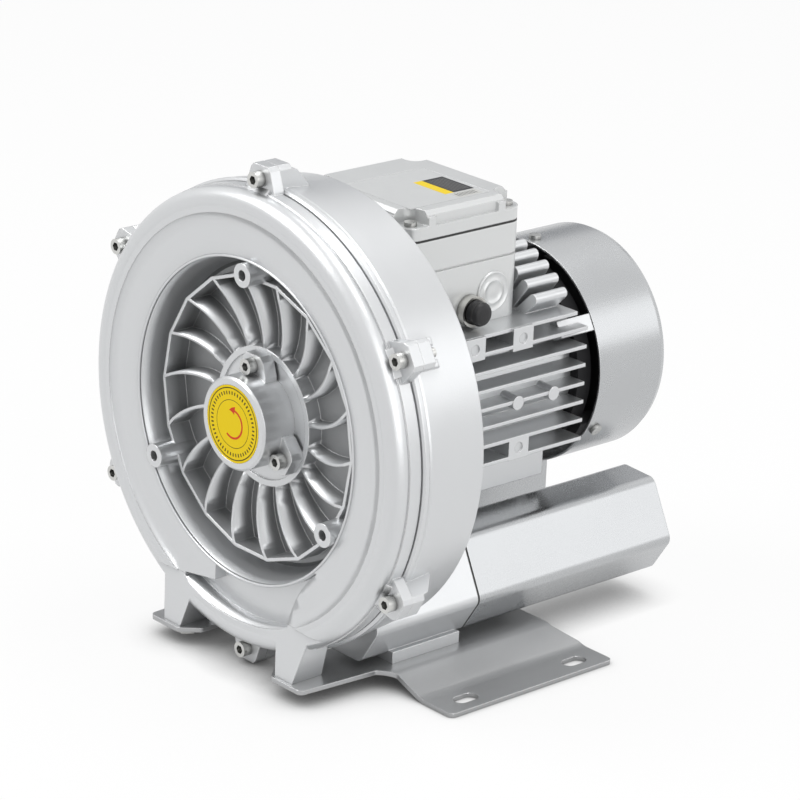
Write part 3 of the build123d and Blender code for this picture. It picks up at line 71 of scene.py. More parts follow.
# Depth below the rib tops where the painted shade in the wells begins
WELL_START = 0.001
DRAWN_LINE, DRAWN_STRETCH = 0.0009, (1.0, 0.02, 1.0)

# Bare and plated metal: patches, marks, and the painted shade in sockets and corners
METAL_CLOUD, METAL_MARK, MARK_HEIGHT = 0.006, 0.0004, 0.00002
METAL_DULL, METAL_SOCKET_SHADE, SOCKET_SHADE_REACH, SOCKET_SHADE_FALL = 0.55, 0.12, 0.003, 2.0

# Dull material: size and share of the dusty patches, and how much paler they are
DUST_PATCH, DUST_SHARE, DUST_GAIN, DUST_LIFT, DUST_GLOSS = 0.012, 0.6, 1.6, 0.01, 0.15

# Each metal's colour, roughness and nodes
METALS = {
    "zinc_plate": ((0.70, 0.70, 0.68), 0.3,
                   ("cover_screws", "bearing_cap_screws", "fan_cover_screws", "lid_screws",
                    "motor_flange_bolts", "end_shield_screws", "base_front_bolts",
                    "base_rear_bolts", "shaft_nut", "spacer_sleeve", "impeller_key", "fan_clip",
                    "wave_spring")),
    "bearing_steel": ((0.55, 0.56, 0.58), 0.18,
                      ("front_bearing_outer", "front_bearing_inner", "front_bearing_balls",
                       "rear_bearing_outer", "rear_bearing_inner", "rear_bearing_balls",
                       "motor_shaft")),
    "bare_aluminium": ((0.70, 0.71, 0.72), 0.4, ("impeller",)),
    "core_steel": ((0.30, 0.30, 0.31), 0.5, ("rotor_core", "stator_core")),
    "copper_winding": ((0.50, 0.22, 0.10), 0.35, ("stator_windings",)),
    "brass": ((0.70, 0.50, 0.20), 0.3, ("terminal_studs",)),
    "nickel": ((0.66, 0.65, 0.62), 0.22, ("gland_body", "gland_lock_nut")),
}

# Each dull material's look and nodes
DULL = {
    "black_rubber": (dict(colour=(0.02, 0.02, 0.02), roughness=0.7),
                     ("lid_gasket", "silencer_gasket_left", "silencer_gasket_right",
                      "shaft_seal")),
    "black_plastic": (dict(colour=(0.012, 0.012, 0.013), roughness=0.42, specular=0.35),
                      ("gland_plug", "cooling_fan")),
    "foam_grey": (dict(colour=(0.10, 0.10, 0.11), roughness=0.95, lump=0.002, depth=0.0012),
                  ("silencer_foam_left", "silencer_foam_right")),
    "board_brown": (dict(colour=(0.16, 0.07, 0.03), roughness=0.6), ("terminal_board",)),
}

# Round label: radii of its print in metres, angles of its arrow in radians
TICK_SHARE = (0.3, 0.7)
TICKS_OUT, TICKS_IN = 0.002, 0.0042
TICK_SHIFT = 64.0
INNER_RING = (0.0150, 0.0154)
ARROW_RADIUS, ARROW_HALF_WIDTH = 0.009, 0.0007
ARROW_TAIL, ARROW_NECK, ARROW_TIP, ARROW_SPREAD = -2.2, 1.4, 2.0, 0.0045
WORN_YELLOW = (0.70, 0.48, 0.01)

# Rating plate: spans of its fields as shares of its width and of its depth
PLATE_BLOCK = ((0.34, 0.82), (0.70, 0.96))
PLATE_BAND = ((0.34, 0.82), (0.59, 0.70))
PLATE_PATCH = ((0.83, 0.98), (0.62, 0.94))
BLOCK_ROWS = ((0.38, 0.78), (0.73, 0.94))
PATCH_ROWS = ((0.86, 0.95), (0.66, 0.90))
ROW_COUNT, ROW_SHARE, FAINT_ROWS = 32.0, (0.3, 0.65), 0.25

# Cut that cleans the hub's edge: how far it reaches inside and outside it, and its depth
TRIM_INSIDE, TRIM_OUTSIDE, TRIM_DEPTH = 0.002, 0.0004, 0.012
# Lip bead: distance before the lip's front, then radius beyond the lip's
LIP_BEAD = ((-0.0010, 0.0018), (0.0002, 0.0017), (0.0006, 0.0010), (0.0005, 0.0004),
            (-0.0001, 0.0), (-0.0012, -0.0001), (-0.0010, 0.0018))
# Blanking plug: distance outwards from its seat or from its end, then share of its radius
PLUG_FOOT = ((-0.004, 0.0), (-0.004, 0.6), (0.0, 0.6), (0.0, 0.96), (0.0006, 1.0), (0.0016, 1.0),
             (0.0022, 0.94), (0.0050, 0.93), (0.0054, 0.97), (0.0062, 0.97), (0.0066, 0.92))
PLUG_END = ((-0.0012, 0.86), (-0.0003, 0.7), (0.0, 0.4), (0.0, 0.0))
# Closed entry: distance outwards, then radius beyond the bead's, or share of the outer bead's
OUTER_BEAD = ((-0.0008, 0.0012), (0.0002, 0.0009), (0.0010, 0.0004), (0.0012, 0.0),
              (0.0010, -0.0004), (0.0003, -0.0010))
INNER_BEAD = ((0.0003, 0.0010), (0.0010, 0.0004), (0.0012, 0.0), (0.0010, -0.0004),
              (0.0004, -0.0009))
ENTRY_MIDDLE = ((0.0004, 0.22), (0.0006, 0.16), (0.0006, 0.0))
INNER_BEAD_SHARE = 0.60

# Lamps: name, place, power in watts, width and height
STAGE_AIM = (0.0, 0.1, 0.14)
LAMPS = (
    ("key", (-1.2, -1.6, 2.2), 42, (1.7, 1.7)),
    ("side", (2.2, -0.3, 1.0), 17, (2.0, 2.0)),
    ("top", (0.3, 0.6, 2.4), 22, (2.0, 0.8)),
    ("rear_panel", (1.6, 1.78, 0.95), 6.5, (2.4, 1.1)),
)
CARD_PLACE, CARD_SIZE, CARD_TONE = (-1.9, 1.9, 1.0), (2.6, 0.9), (0.34, 0.35, 0.37)
# Floor size, and the fall-off and tone of the painted contact shadow
FLOOR_HALF, CONTACT_SHADOW_FALL, CONTACT_SHADOW_TONE = 6.0, 1.6, (0.08, 0.08, 0.08)


def colour_property(name, description, default):
    return FloatVectorProperty(name=name, description=description, default=default,
                               subtype="COLOR", size=3, min=0.0, max=1.0)


def length_property(name, description, default, **limits):
    return FloatProperty(name=name, description=description, default=default, unit="LENGTH",
                         **limits)


def share_property(name, description, default):
    return FloatProperty(name=name, description=description, default=default, min=0, max=1,
                         subtype="FACTOR")


def angle_property(name, description, degrees):
    return FloatProperty(name=name, description=description, default=math.radians(degrees),
                         subtype="ANGLE")


class PaintSettings(PropertyGroup):
    """Silver paint on the castings, the sheet metal and the silencers."""
    cast: colour_property("Casting silver", "Paint on the cover, the casing and the motor",
                          (0.64, 0.65, 0.66))
    box: colour_property("Box silver", "Paint on the terminal box", (0.67, 0.68, 0.68))
    box_metallic: share_property("Box metallic", "Share of metal flake on the terminal box", 0.45)
    sheet: colour_property("Sheet silver", "Paint on the fan cover and the silencers",
                           (0.49, 0.50, 0.51))
    sheet_metallic: share_property("Sheet metallic", "Share of metal flake on the sheet metal", 0.9)
    sheet_roughness: share_property("Sheet roughness", "Roughness of the sheet metal's paint", 0.27)
    base: colour_property("Base silver", "Paint on the two base plates", (0.43, 0.435, 0.44))
    # The edge tone is partly wear and partly a painted highlight on sharp edges
    edge: colour_property("Edge silver", "Tone of rubbed edges, where the paint is thin",
                          (0.82, 0.82, 0.82))
    # The recess tone is painted shade: the paint's colour darkens in deep corners
    recess_painted_shade: share_property("Recess shade", "Share of the tone that is left in deep corners", 0.8)
    # The well tone is painted shade deep between the cover's ribs
    well: share_property("Well shade", "Share of the tone that is left deep between the ribs", 0.5)
    roughness: share_property("Roughness", "Roughness of the paint", 0.32)
    metallic: share_property("Metallic", "Share of metal flake", 0.75)
    edge_round: length_property("Edge rounding", "Radius that the paint gives to sharp edges",
                                0.0009, min=0)
    cast_grain: length_property("Cast grain", "Size of the casting's grain", 0.0011, min=0.0001)
    grain_depth: length_property("Grain depth", "Height of the casting's grain", 0.00007, min=0)
    # Reach of the painted shade in corners
    corner_shade_reach: length_property("Corner reach", "How far the darker tone spreads from a corner",
                                  0.008, min=0.001)


class ShapeSettings(PropertyGroup):
    """Sizes of the fittings, and of the wells between the ribs, where the paint has a painted
    shade.
    """
    hub_edge: length_property("Hub radius", "Radius of the cover's hub, where the ribs start",
                              0.0442)
    hub_front: length_property("Hub front", "How far the hub's face stands before the split",
                               0.0006)
    bead_radius: length_property("Bead radius", "Radius of the outer bead on the closed entry",
                                 0.0125)
    rib_rise: FloatProperty(name="Rib rise", default=0.129,
                            description="How far the ribs' tops come forward per metre outwards")
    # The wells' depth and radius set the painted shade between the ribs
    well_reach: length_property("Well reach", "Depth between the ribs where the shade is full",
                                0.009)
    well_radius: length_property("Well radius", "Radius where the wells between the ribs end",
                                 0.0965)
    lip_radius: length_property("Lip radius", "Inner radius of the cover's lip", 0.1023)
    lip_front: length_property("Lip front", "How far the lip stands before the split", 0.0165)
    plug_length: length_property("Plug length", "Length of the gland's blanking plug", 0.009)


class LabelSettings(PropertyGroup):
    """Round label on the bearing cap and the plate on the terminal box."""
    yellow: colour_property("Yellow", "Ground of the round label, and the plate's band",
                            (0.82, 0.60, 0.008))
    ink: colour_property("Ink", "Rings and ticks of the round label", (0.06, 0.045, 0.01))
    red: colour_property("Red", "Arrow that shows the direction of rotation", (0.62, 0.05, 0.02))
    ring_radius: length_property("Ring radius", "Radius of the black ring", 0.0228)
    ring_width: length_property("Ring width", "Width of the black ring", 0.0007)
    tick_count: IntProperty(name="Ticks", description="Number of short marks inside the ring",
                            default=48, min=4)
    plate_black: colour_property("Plate black", "Black block of the rating plate",
                                 (0.022, 0.022, 0.024))
    plate_pale: colour_property("Plate pale", "Blank rows and pale patch of the rating plate",
                                (0.55, 0.55, 0.53))


class StageSettings(PropertyGroup):
    """Camera, world and floor."""
    azimuth: angle_property("Azimuth", "Camera's turn from the cover's axis towards +X", 47.91)
    elevation: angle_property("Elevation", "Camera's height above the shaft's level", 20.31)
    roll: angle_property("Roll", "Camera's roll", 2.37)
    distance: length_property("Distance", "Camera's distance from its aim", 2.26135)
    aim_depth: length_property("Aim behind split", "Aim point behind the cover's split", 0.0905)
    aim_drop: length_property("Aim below shaft", "Aim point below the shaft", 0.020)
    lens: FloatProperty(name="Lens", description="Focal length on a 36 mm sensor, in millimetres",
                        default=161.195)
    shift_x: FloatProperty(name="Shift X", description="Sideways shift of the frame",
                           default=0.03423)
    shift_y: FloatProperty(name="Shift Y", description="Upward shift of the frame",
                           default=0.02115)
    floor: colour_property("Floor", "Colour of the floor", (0.9, 0.9, 0.9))
    whiteness: share_property("Whiteness", "Share of white that the camera and reflections see",
                              0.9)
    # Reach of the painted contact shadow on the floor
    contact: length_property("Contact shade", "Reach of the dark shade where parts touch the floor",
                             0.03)
    ambient: FloatProperty(name="Ambient", description="Strength of the world's light",
                           default=0.35, min=0)


class Value:
    """A number socket of a material, so that shader maths is written as Python expressions."""

    def __init__(self, tree, socket):
        self.tree = tree
        self.socket = socket

    def math(self, operation, *terms, clamp=False):
        """Math node on the terms, which are numbers or sockets, in order."""
        node = self.tree.nodes.new("ShaderNodeMath")
        node.operation = operation
        node.use_clamp = clamp
        for slot, term in zip(node.inputs, terms):
            if isinstance(term, Value):
                self.tree.links.new(term.socket, slot)
            else:
                slot.default_value = term
        return Value(self.tree, node.outputs[0])

    def __add__(self, other):
        return self.math("ADD", self, other)

    def __radd__(self, other):
        return self.math("ADD", other, self)

    def __sub__(self, other):
        return self.math("SUBTRACT", self, other)

    def __rsub__(self, other):
        return self.math("SUBTRACT", other, self)

    def __mul__(self, other):
        return self.math("MULTIPLY", self, other)

    def __rmul__(self, other):
        return self.math("MULTIPLY", other, self)

    def __truediv__(self, other):
        return self.math("DIVIDE", self, other)

    def __pow__(self, power):
        return self.math("POWER", self, power)

    def __abs__(self):
        return self.math("ABSOLUTE", self)

    def fraction(self):
        return self.math("FRACT", self)

    def angle_from(self, across):
        """Angle of the point that is this high and that far across."""
        return self.math("ARCTAN2", self, across)

    def less_than(self, limit):
        return self.math("LESS_THAN", self, limit)

    def more_than(self, limit):
        return self.math("GREATER_THAN", self, limit)

    def clamped(self):
        return self.math("ADD", self, 0.0, clamp=True)

    def between(self, low, high):
        return self.more_than(low) * self.less_than(high)


class Finish:
    """A material whose nodes are added one by one to its Principled shader."""

    def __init__(self, name):
        self.material = bpy.data.materials.new(name)
        self.material.use_nodes = True
        self.tree = self.material.node_tree
        self.shader = self.tree.nodes["Principled BSDF"]

    def node(self, kind, settings=None, **sockets):
        """Node of a type, with its settings made first and then its sockets filled or linked.

        A socket is given by its name with _ for a space, or by _ and its number.
        """
        node = self.tree.nodes.new("ShaderNode" + kind)
        for key, setting in (settings or {}).items():
            setattr(node, key, setting)
        for key, value in sockets.items():
            slot = int(key[1:]) if key[0] == "_" else key.replace("_", " ")
            self.fill(node.inputs[slot], value)
        return node

    def fill(self, slot, value):
        """Link a socket to a slot, or set the slot to a number or colour."""
        if isinstance(value, Value):
            value = value.socket
        if isinstance(value, bpy.types.NodeSocket):
            self.tree.links.new(value, slot)
        elif slot.type == "RGBA" and len(value) == 3:
            slot.default_value = (*value, 1.0)
        else:
            slot.default_value = value

    def value(self, socket):
        return Value(self.tree, socket)

    def surface(self, **sockets):
        """Fill the Principled shader's sockets."""
        for key, value in sockets.items():
            self.fill(self.shader.inputs[key.replace("_", " ")], value)

    def place(self):
        """Position on the object, in metres of the shared frame."""
        return self.node("TexCoord").outputs["Object"]

    def axes(self):
        """The position's three numbers."""
        split = self.node("SeparateXYZ", Vector=self.place())
        return [self.value(split.outputs[axis]) for axis in "XYZ"]

    def about_the_shaft(self):
        """Sideways place, depth, height above the shaft and distance from its axis."""
        x, y, z = self.axes()
        height = z - AXIS_Z
        return x, y, height, (x * x + height * height) ** 0.5

    def noise(self, size, detail=3.0, roughness=0.5, stretch=(1.0, 1.0, 1.0)):
        """Noise whose lumps are about a size across, from 0 to 1."""
        spread = self.node("Mapping", Vector=self.place(), Scale=stretch)
        noise = self.node("TexNoise", Vector=spread.outputs[0], Scale=1.0 / size, Detail=detail,
                          Roughness=roughness)
        return self.value(noise.outputs["Fac"])

    def openness(self, reach, samples=6):
        """1 on open surfaces, less near a corner within the reach."""
        corner = self.node("AmbientOcclusion", {"samples": samples}, Distance=reach)
        return self.value(corner.outputs["AO"])

    def mix(self, mask, first, second):
        """Colour that runs from the first to the second by a mask."""
        blend = self.node("Mix", {"data_type": "RGBA"}, Factor=mask, _6=first, _7=second)
        return blend.outputs[2]

    def bump(self, height, distance, **base):
        """Surface normal from a height that runs from 0 to 1 over a distance."""
        bump = self.node("Bump", Height=height, Distance=distance, Strength=1.0, **base)
        return bump.outputs["Normal"]


def settings():
    return bpy.context.scene.blower


def toned(colour, share):
    """A share of a colour."""
    return tuple(share * channel for channel in colour)


def well_depth(finish):
    """How deep a point lies between the cover's ribs, 0 at their tops and 1 at the floor."""
    shape = settings().shape
    _, y, _, radius = finish.about_the_shaft()
    rib_top = SPLIT_Y - shape.hub_front - (radius - shape.hub_edge) * shape.rib_rise
    depth = ((y - rib_top - WELL_START) / shape.well_reach).clamped()
    return depth * radius.between(shape.hub_edge, shape.well_radius)


def silver_paint(name, tone, grain=1.0, brushed=False, metallic=None, roughness=None, wells=False):
    """Aluminium paint: fine flake, painted shade in corners, edges paled by wear and a painted
    highlight, a pebbled or drawn skin.
    """
    paint = settings().paint
    metallic = paint.metallic if metallic is None else metallic
    roughness = paint.roughness if roughness is None else roughness
    finish = Finish(name)
    # Ambient occlusion paints shade into the colour near corners and in recesses
    unshaded = finish.openness(paint.corner_shade_reach)
    clouds = finish.noise(PAINT_CLOUD, detail=2)
    flake = finish.noise(PAINT_FLAKE, detail=1)
    shade = (unshaded ** CORNER_SHADE_FALL + (clouds - 0.5) * CLOUD_TONE
             + (flake - 0.5) * FLAKE_TONE).clamped()
    rounded = finish.node("Bevel", {"samples": 4}, Radius=paint.edge_round).outputs["Normal"]
    flat = finish.node("NewGeometry").outputs["Normal"]
    # Pale edges: partly wear and partly a painted highlight, from the bevelled normal's turn away
    # from the face
    turned = finish.node("VectorMath", {"operation": "DOT_PRODUCT"}, _0=rounded, _1=flat)
    facing = finish.value(turned.outputs["Value"])
    edge_wear_and_highlight = ((WEAR_AND_HIGHLIGHT_FROM - facing) * WEAR_AND_HIGHLIGHT_RISE * (clouds + WEAR_AND_HIGHLIGHT_PATCHES)).clamped()
    rubbed_and_highlit = edge_wear_and_highlight * WEAR_AND_HIGHLIGHT_MOST
    # Painted shade: the colour runs to the darker recess tone in corners, and clouds and flake vary
    # it at random
    colour = finish.mix(shade, toned(tone, paint.recess_painted_shade), tone)
    # Painted shade between the cover's ribs: the colour darkens with the depth of the well
    if wells:
        depth = well_depth(finish)
        colour = finish.mix(depth, colour, toned(tone, paint.well))
        roughness = roughness + depth * WELL_GLOSS
    gloss = (roughness + (clouds - 0.5) * CLOUD_GLOSS + (flake - 0.5) * FLAKE_GLOSS
             - rubbed_and_highlit * WEAR_AND_HIGHLIGHT_GLOSS)
    if brushed:
        height = finish.noise(DRAWN_LINE, detail=3, stretch=DRAWN_STRETCH)
    else:
        height = finish.noise(paint.cast_grain, detail=4, roughness=0.6)
    finish.surface(Base_Color=finish.mix(rubbed_and_highlit, colour, tuple(paint.edge)), Metallic=metallic,
                   Roughness=gloss.clamped(),
                   Normal=finish.bump(height, paint.grain_depth * grain, Normal=rounded))
    return finish.material


def bright_metal(name, colour, roughness):
    """Plated or bare metal with fine marks, a cloudy sheen and painted shade in its sockets."""
    finish = Finish(name)
    clouds = finish.noise(METAL_CLOUD, detail=3)
    marks = finish.noise(METAL_MARK, detail=2)
    # Ambient occlusion paints shade into sockets and corners
    unshaded = finish.openness(SOCKET_SHADE_REACH) ** SOCKET_SHADE_FALL
    skin = finish.mix((clouds * 0.5 + 0.45).clamped(), toned(colour, METAL_DULL), colour)
    finish.surface(Base_Color=finish.mix(unshaded, toned(colour, METAL_SOCKET_SHADE), skin), Metallic=1.0,
                   Roughness=(roughness + (clouds - 0.5) * 0.2).clamped(),
                   Normal=finish.bump(marks, MARK_HEIGHT))
    return finish.material


def dull_stuff(name, colour, roughness, lump=0.0007, depth=0.00004, specular=0.5):
    """Rubber, plastic, foam, or a near-black painted shade, with a soft grain and dusty patches."""
    finish = Finish(name)
    clouds = finish.noise(DUST_PATCH, detail=3)
    lumps = finish.noise(lump, detail=3)
    dusty = tuple(min(1.0, channel * DUST_GAIN + DUST_LIFT) for channel in colour)
    finish.surface(Base_Color=finish.mix((clouds * DUST_SHARE).clamped(), colour, dusty),
                   Roughness=(roughness + (clouds - 0.5) * DUST_GLOSS).clamped(),
                   Specular_IOR_Level=specular, Normal=finish.bump(lumps, depth))
    return finish.material


def label_print(name):
    """Yellow disc with a black ring, short ticks all round and a red turning arrow."""
    label = settings().label
    finish = Finish(name)
    x, _, height, radius = finish.about_the_shaft()
    angle = height.angle_from(x)
    # A whole number of ticks is added, so that the fraction is taken of a number above 0
    tick_phase = (angle * (label.tick_count / (2 * math.pi)) + TICK_SHIFT).fraction()
    ring = abs(radius - label.ring_radius).less_than(label.ring_width / 2)
    ticks = tick_phase.between(*TICK_SHARE) * radius.between(label.ring_radius - TICKS_IN,
                                                             label.ring_radius - TICKS_OUT)
    ink = (ring + ticks + radius.between(*INNER_RING)).clamped()
    off_arc = abs(radius - ARROW_RADIUS)
    shaft = off_arc.less_than(ARROW_HALF_WIDTH) * angle.between(ARROW_TAIL, ARROW_NECK)
    head = (off_arc.less_than((ARROW_TIP - angle) * ARROW_SPREAD)
            * angle.between(ARROW_NECK, ARROW_TIP))
    ground = finish.mix((finish.noise(0.004) * 0.12).clamped(), tuple(label.yellow), WORN_YELLOW)
    with_ink = finish.mix(ink, ground, tuple(label.ink))
    finish.surface(Base_Color=finish.mix((shaft + head).clamped(), with_ink, tuple(label.red)),
                   Roughness=(finish.noise(0.002) * 0.1 + 0.5).clamped(), Specular_IOR_Level=0.15)
    return finish.material


def plate_print(name):
    """Silver foil with a black block of blank rows, a yellow band and a pale patch beside it."""
    label = settings().label
    paint = settings().paint
    black, pale = tuple(label.plate_black), tuple(label.plate_pale)
    low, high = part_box("name_plate")
    finish = Finish(name)
    x, y, _ = finish.axes()
    across = (x - low[0]) / (high[0] - low[0])
    along = (y - low[1]) / (high[1] - low[1])

    def field(spans):
        return across.between(*spans[0]) * along.between(*spans[1])

    block, band, patch = field(PLATE_BLOCK), field(PLATE_BAND), field(PLATE_PATCH)
    rows = (along * ROW_COUNT).fraction().between(*ROW_SHARE)
    faint = block * rows * field(BLOCK_ROWS)
    marks = patch * rows * field(PATCH_ROWS)
    ground = finish.mix(block, tuple(paint.box), black)
    with_rows = finish.mix((faint * FAINT_ROWS).clamped(), ground, pale)
    with_band = finish.mix(band, with_rows, tuple(label.yellow))
    with_patch = finish.mix(patch, with_band, pale)
    printed = (block + band + patch).clamped()
    finish.surface(Base_Color=finish.mix(marks, with_patch, black),
                   Metallic=((1.0 - printed) * paint.box_metallic).clamped(),
                   Roughness=(finish.noise(0.003) * 0.2 + 0.25).clamped(), Specular_IOR_Level=0.2)
    return finish.material


def mesh_object(name, form):
    """Object in the scene that is made of a bmesh."""
    mesh = bpy.data.meshes.new(name)
    form.to_mesh(mesh)
    form.free()
    piece = bpy.data.objects.new(name, mesh)
    bpy.context.collection.objects.link(piece)
    return piece


def lathe(name, profile, origin, outward, steps=48):
    """Turned solid: (distance outward, radius) points turned about a line through the origin."""
    outward = Vector(outward).normalized()
    side = outward.orthogonal().normalized()
    turn = outward.cross(side)
    form = bmesh.new()
    rings = []
    for along, radius in profile:
        middle = Vector(origin) + outward * along
        if radius == 0:
            rings.append([form.verts.new(middle)] * steps)
            continue
        rings.append([form.verts.new(middle + radius * (math.cos(t) * side + math.sin(t) * turn))
                      for t in (2 * math.pi * i / steps for i in range(steps))])
    for first, second in zip(rings, rings[1:]):
        for i in range(steps):
            corners = [first[i - 1], first[i], second[i], second[i - 1]]
            form.faces.new(list(dict.fromkeys(corners)))
    bmesh.ops.remove_doubles(form, verts=form.verts, dist=0.000001)
    bmesh.ops.recalc_face_normals(form, faces=form.faces)
    for face in form.faces:
        face.smooth = True
    return mesh_object(name, form)


def carve(node, name, cutters):
    """Copy of a CAD node with cutters taken out of it."""
    piece = bpy.data.objects.new(name, bpy.data.objects[node].data.copy())
    bpy.context.collection.objects.link(piece)
    for cutter in cutters:
        cut = piece.modifiers.new(cutter.name, "BOOLEAN")
        cut.operation = "DIFFERENCE"
        cut.solver = "EXACT"
        cut.object = cutter
    bpy.context.view_layer.update()
    shaped = piece.evaluated_get(bpy.context.evaluated_depsgraph_get())
    mesh = bpy.data.meshes.new_from_object(shaped)
    piece.modifiers.clear()
    piece.data = mesh
    for cutter in cutters:
        bpy.data.objects.remove(cutter)
    return piece


def dress(names, material):
    """Give a material to every slot of the named nodes."""
    for name in names:
        node = bpy.data.objects[name]
        node.data.materials.clear()
        node.data.materials.append(material)


def dress_like(piece, node):
    """Give a new piece the material that the node has."""
    piece.data.materials.append(bpy.data.objects[node].data.materials[0])


class BLOWER_OT_castings(Operator):
    """Paint the castings, the sheet metal and the silencers"""
    bl_idname = "blower.castings"
    bl_label = "Castings and sheet metal"

    def execute(self, context):
        paint = settings().paint
        cast = tuple(paint.cast)
        dress(["front_cover"], silver_paint("cover_paint", cast, wells=True))
        dress(["rear_casing", "bearing_cap", "motor_housing"], silver_paint("cast_paint", cast))
        dress(["terminal_box", "terminal_lid", "knockout_plug"],
              silver_paint("box_paint", tuple(paint.box), grain=0.5, metallic=paint.box_metallic))
        dress(["silencer_tube_left", "silencer_tube_right", "silencer_end_left",
               "silencer_end_right", "fan_cover"],
              silver_paint("sheet_paint", tuple(paint.sheet), grain=0.4, brushed=True,
                           metallic=paint.sheet_metallic, roughness=paint.sheet_roughness))
        dress(["base_plate_left", "base_plate_right"],
              silver_paint("base_paint", tuple(paint.base), grain=0.6))
        # The end shield is near black as painted shade: it stands for the shadow in the gap between
        # the housing and the fan cover
        dress(["end_shield"], dull_stuff("dark_shield", (0.008, 0.008, 0.009), 0.6, specular=0.2))
        return {"FINISHED"}


class BLOWER_OT_cover(Operator):
    """Clean the cover's hub edge of the cooling ribs' roots, and put the bead on its lip"""
    bl_idname = "blower.cover"
    bl_label = "Cover hub and lip"

    def execute(self, context):
        shape = settings().shape
        centre = (0.0, SPLIT_Y, AXIS_Z)
        low, high = shape.hub_edge - TRIM_INSIDE, shape.hub_edge + TRIM_OUTSIDE
        near, far = shape.hub_front, TRIM_DEPTH - shape.hub_front
        ring = lathe("hub_trim", [(near, low), (near, high), (far, high), (far, low), (near, low)],
                     centre, FORWARD, steps=180)
        cover = carve("front_cover", "cover_casting", [ring])
        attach(cover, "frame")
        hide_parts("front_cover")
        profile = [(shape.lip_front + out, shape.lip_radius + wide) for out, wide in LIP_BEAD]
        bead = lathe("lip_bead", profile, centre, FORWARD, steps=240)
        dress_like(bead, "front_cover")
        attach(bead, "frame")
        return {"FINISHED"}


class BLOWER_OT_plug(Operator):
    """Shape the gland's blanking plug with a rounded end and two grip rings"""
    bl_idname = "blower.plug"
    bl_label = "Gland plug"

    def execute(self, context):
        low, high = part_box("gland_plug")
        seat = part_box("gland_body")[1][0]
        length = settings().shape.plug_length
        radius = (high[2] - low[2]) / 2
        middle = (seat, (low[1] + high[1]) / 2, (low[2] + high[2]) / 2)
        profile = ([(out, radius * share) for out, share in PLUG_FOOT]
                   + [(length + out, radius * share) for out, share in PLUG_END])
        plug = lathe("blanking_plug", profile, middle, TO_RIGHT)
        dress_like(plug, "gland_plug")
        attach(plug, "frame")
        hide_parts("gland_plug")
        return {"FINISHED"}


class BLOWER_OT_knockout(Operator):
    """Shape the closed cable entry with its ring-shaped beads"""
    bl_idname = "blower.knockout"
    bl_label = "Closed entry"

    def execute(self, context):
        low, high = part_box("knockout_plug")
        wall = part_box("terminal_box")[1][0]
        middle = (wall, (low[1] + high[1]) / 2, (low[2] + high[2]) / 2)
        outer = settings().shape.bead_radius
        inner = outer * INNER_BEAD_SHARE
        profile = [(OUTER_BEAD[0][0], 0.0)]
        profile += [(out, outer + wide) for out, wide in OUTER_BEAD]
        profile += [(out, inner + wide) for out, wide in INNER_BEAD]
        profile += [(out, outer * share) for out, share in ENTRY_MIDDLE]
        beads = lathe("closed_entry", profile, middle, TO_RIGHT, steps=64)
        dress_like(beads, "knockout_plug")
        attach(beads, "frame")
        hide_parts("knockout_plug")
        return {"FINISHED"}


class BLOWER_OT_metal(Operator):
    """Give the screws, the bearings, the shaft and the inner parts their metals"""
    bl_idname = "blower.metal"
    bl_label = "Screws and inner parts"

    def execute(self, context):
        for name, (colour, roughness, nodes) in METALS.items():
            dress(nodes, bright_metal(name, colour, roughness))
        return {"FINISHED"}


class BLOWER_OT_dull(Operator):
    """Give rubber, plastic and foam parts their finishes"""
    bl_idname = "blower.dull"
    bl_label = "Rubber, plastic and foam"

    def execute(self, context):
        for name, (look, nodes) in DULL.items():
            dress(nodes, dull_stuff(name, **look))
        return {"FINISHED"}


class BLOWER_OT_labels(Operator):
    """Print the round label and the plate on the terminal box"""
    bl_idname = "blower.labels"
    bl_label = "Labels"

    def execute(self, context):
        dress(["label_disc"], label_print("label_yellow"))
        dress(["name_plate"], plate_print("plate_black"))
        return {"FINISHED"}


def seen_rays(tree):
    """1 for rays of the camera, of reflections and through glass, which see white, else 0."""
    path = tree.nodes.new("ShaderNodeLightPath")
    camera, glossy, through = (Value(tree, path.outputs[f"Is {kind} Ray"])
                               for kind in ("Camera", "Glossy", "Transmission"))
    return (camera + glossy + through).clamped()


def white_background(tree, strength):
    """World light whose background is white to the camera and in reflections."""
    nodes = tree.nodes
    nodes.clear()
    seen = seen_rays(tree)
    light = nodes.new("ShaderNodeBackground")
    light.inputs["Color"].default_value = (*WHITE, 1.0)
    light.inputs["Strength"].default_value = strength
    white = nodes.new("ShaderNodeBackground")
    white.inputs["Color"].default_value = (*WHITE, 1.0)
    mixed = nodes.new("ShaderNodeMixShader")
    output = nodes.new("ShaderNodeOutputWorld")
    tree.links.new(seen.socket, mixed.inputs[0])
    tree.links.new(light.outputs[0], mixed.inputs[1])
    tree.links.new(white.outputs[0], mixed.inputs[2])
    tree.links.new(mixed.outputs[0], output.inputs[0])


def flat_square(name, half, material):
    """Flat square about the origin, with its material."""
    form = bmesh.new()
    bmesh.ops.create_grid(form, x_segments=1, y_segments=1, size=half)
    square = mesh_object(name, form)
    square.data.materials.append(material)
    return square


def place_aimed(holder, place):
    """Put a lamp or card at a place, turned to the blower and hidden from the camera."""
    holder.location = place
    line = Vector(STAGE_AIM) - Vector(place)
    holder.rotation_euler = line.to_track_quat("-Z", "Y").to_euler()
    holder.visible_camera = False


def card(name, place, size, tone):
    """Grey studio card that only reflections show."""
    finish = Finish(name)
    finish.surface(Base_Color=(0.0, 0.0, 0.0), Roughness=1.0, Specular_IOR_Level=0.0,
                   Emission_Color=tone, Emission_Strength=1.0)
    holder = flat_square(name, 0.5, finish.material)
    place_aimed(holder, place)
    holder.scale = (*size, 1.0)
    holder.visible_diffuse = False
    holder.visible_shadow = False


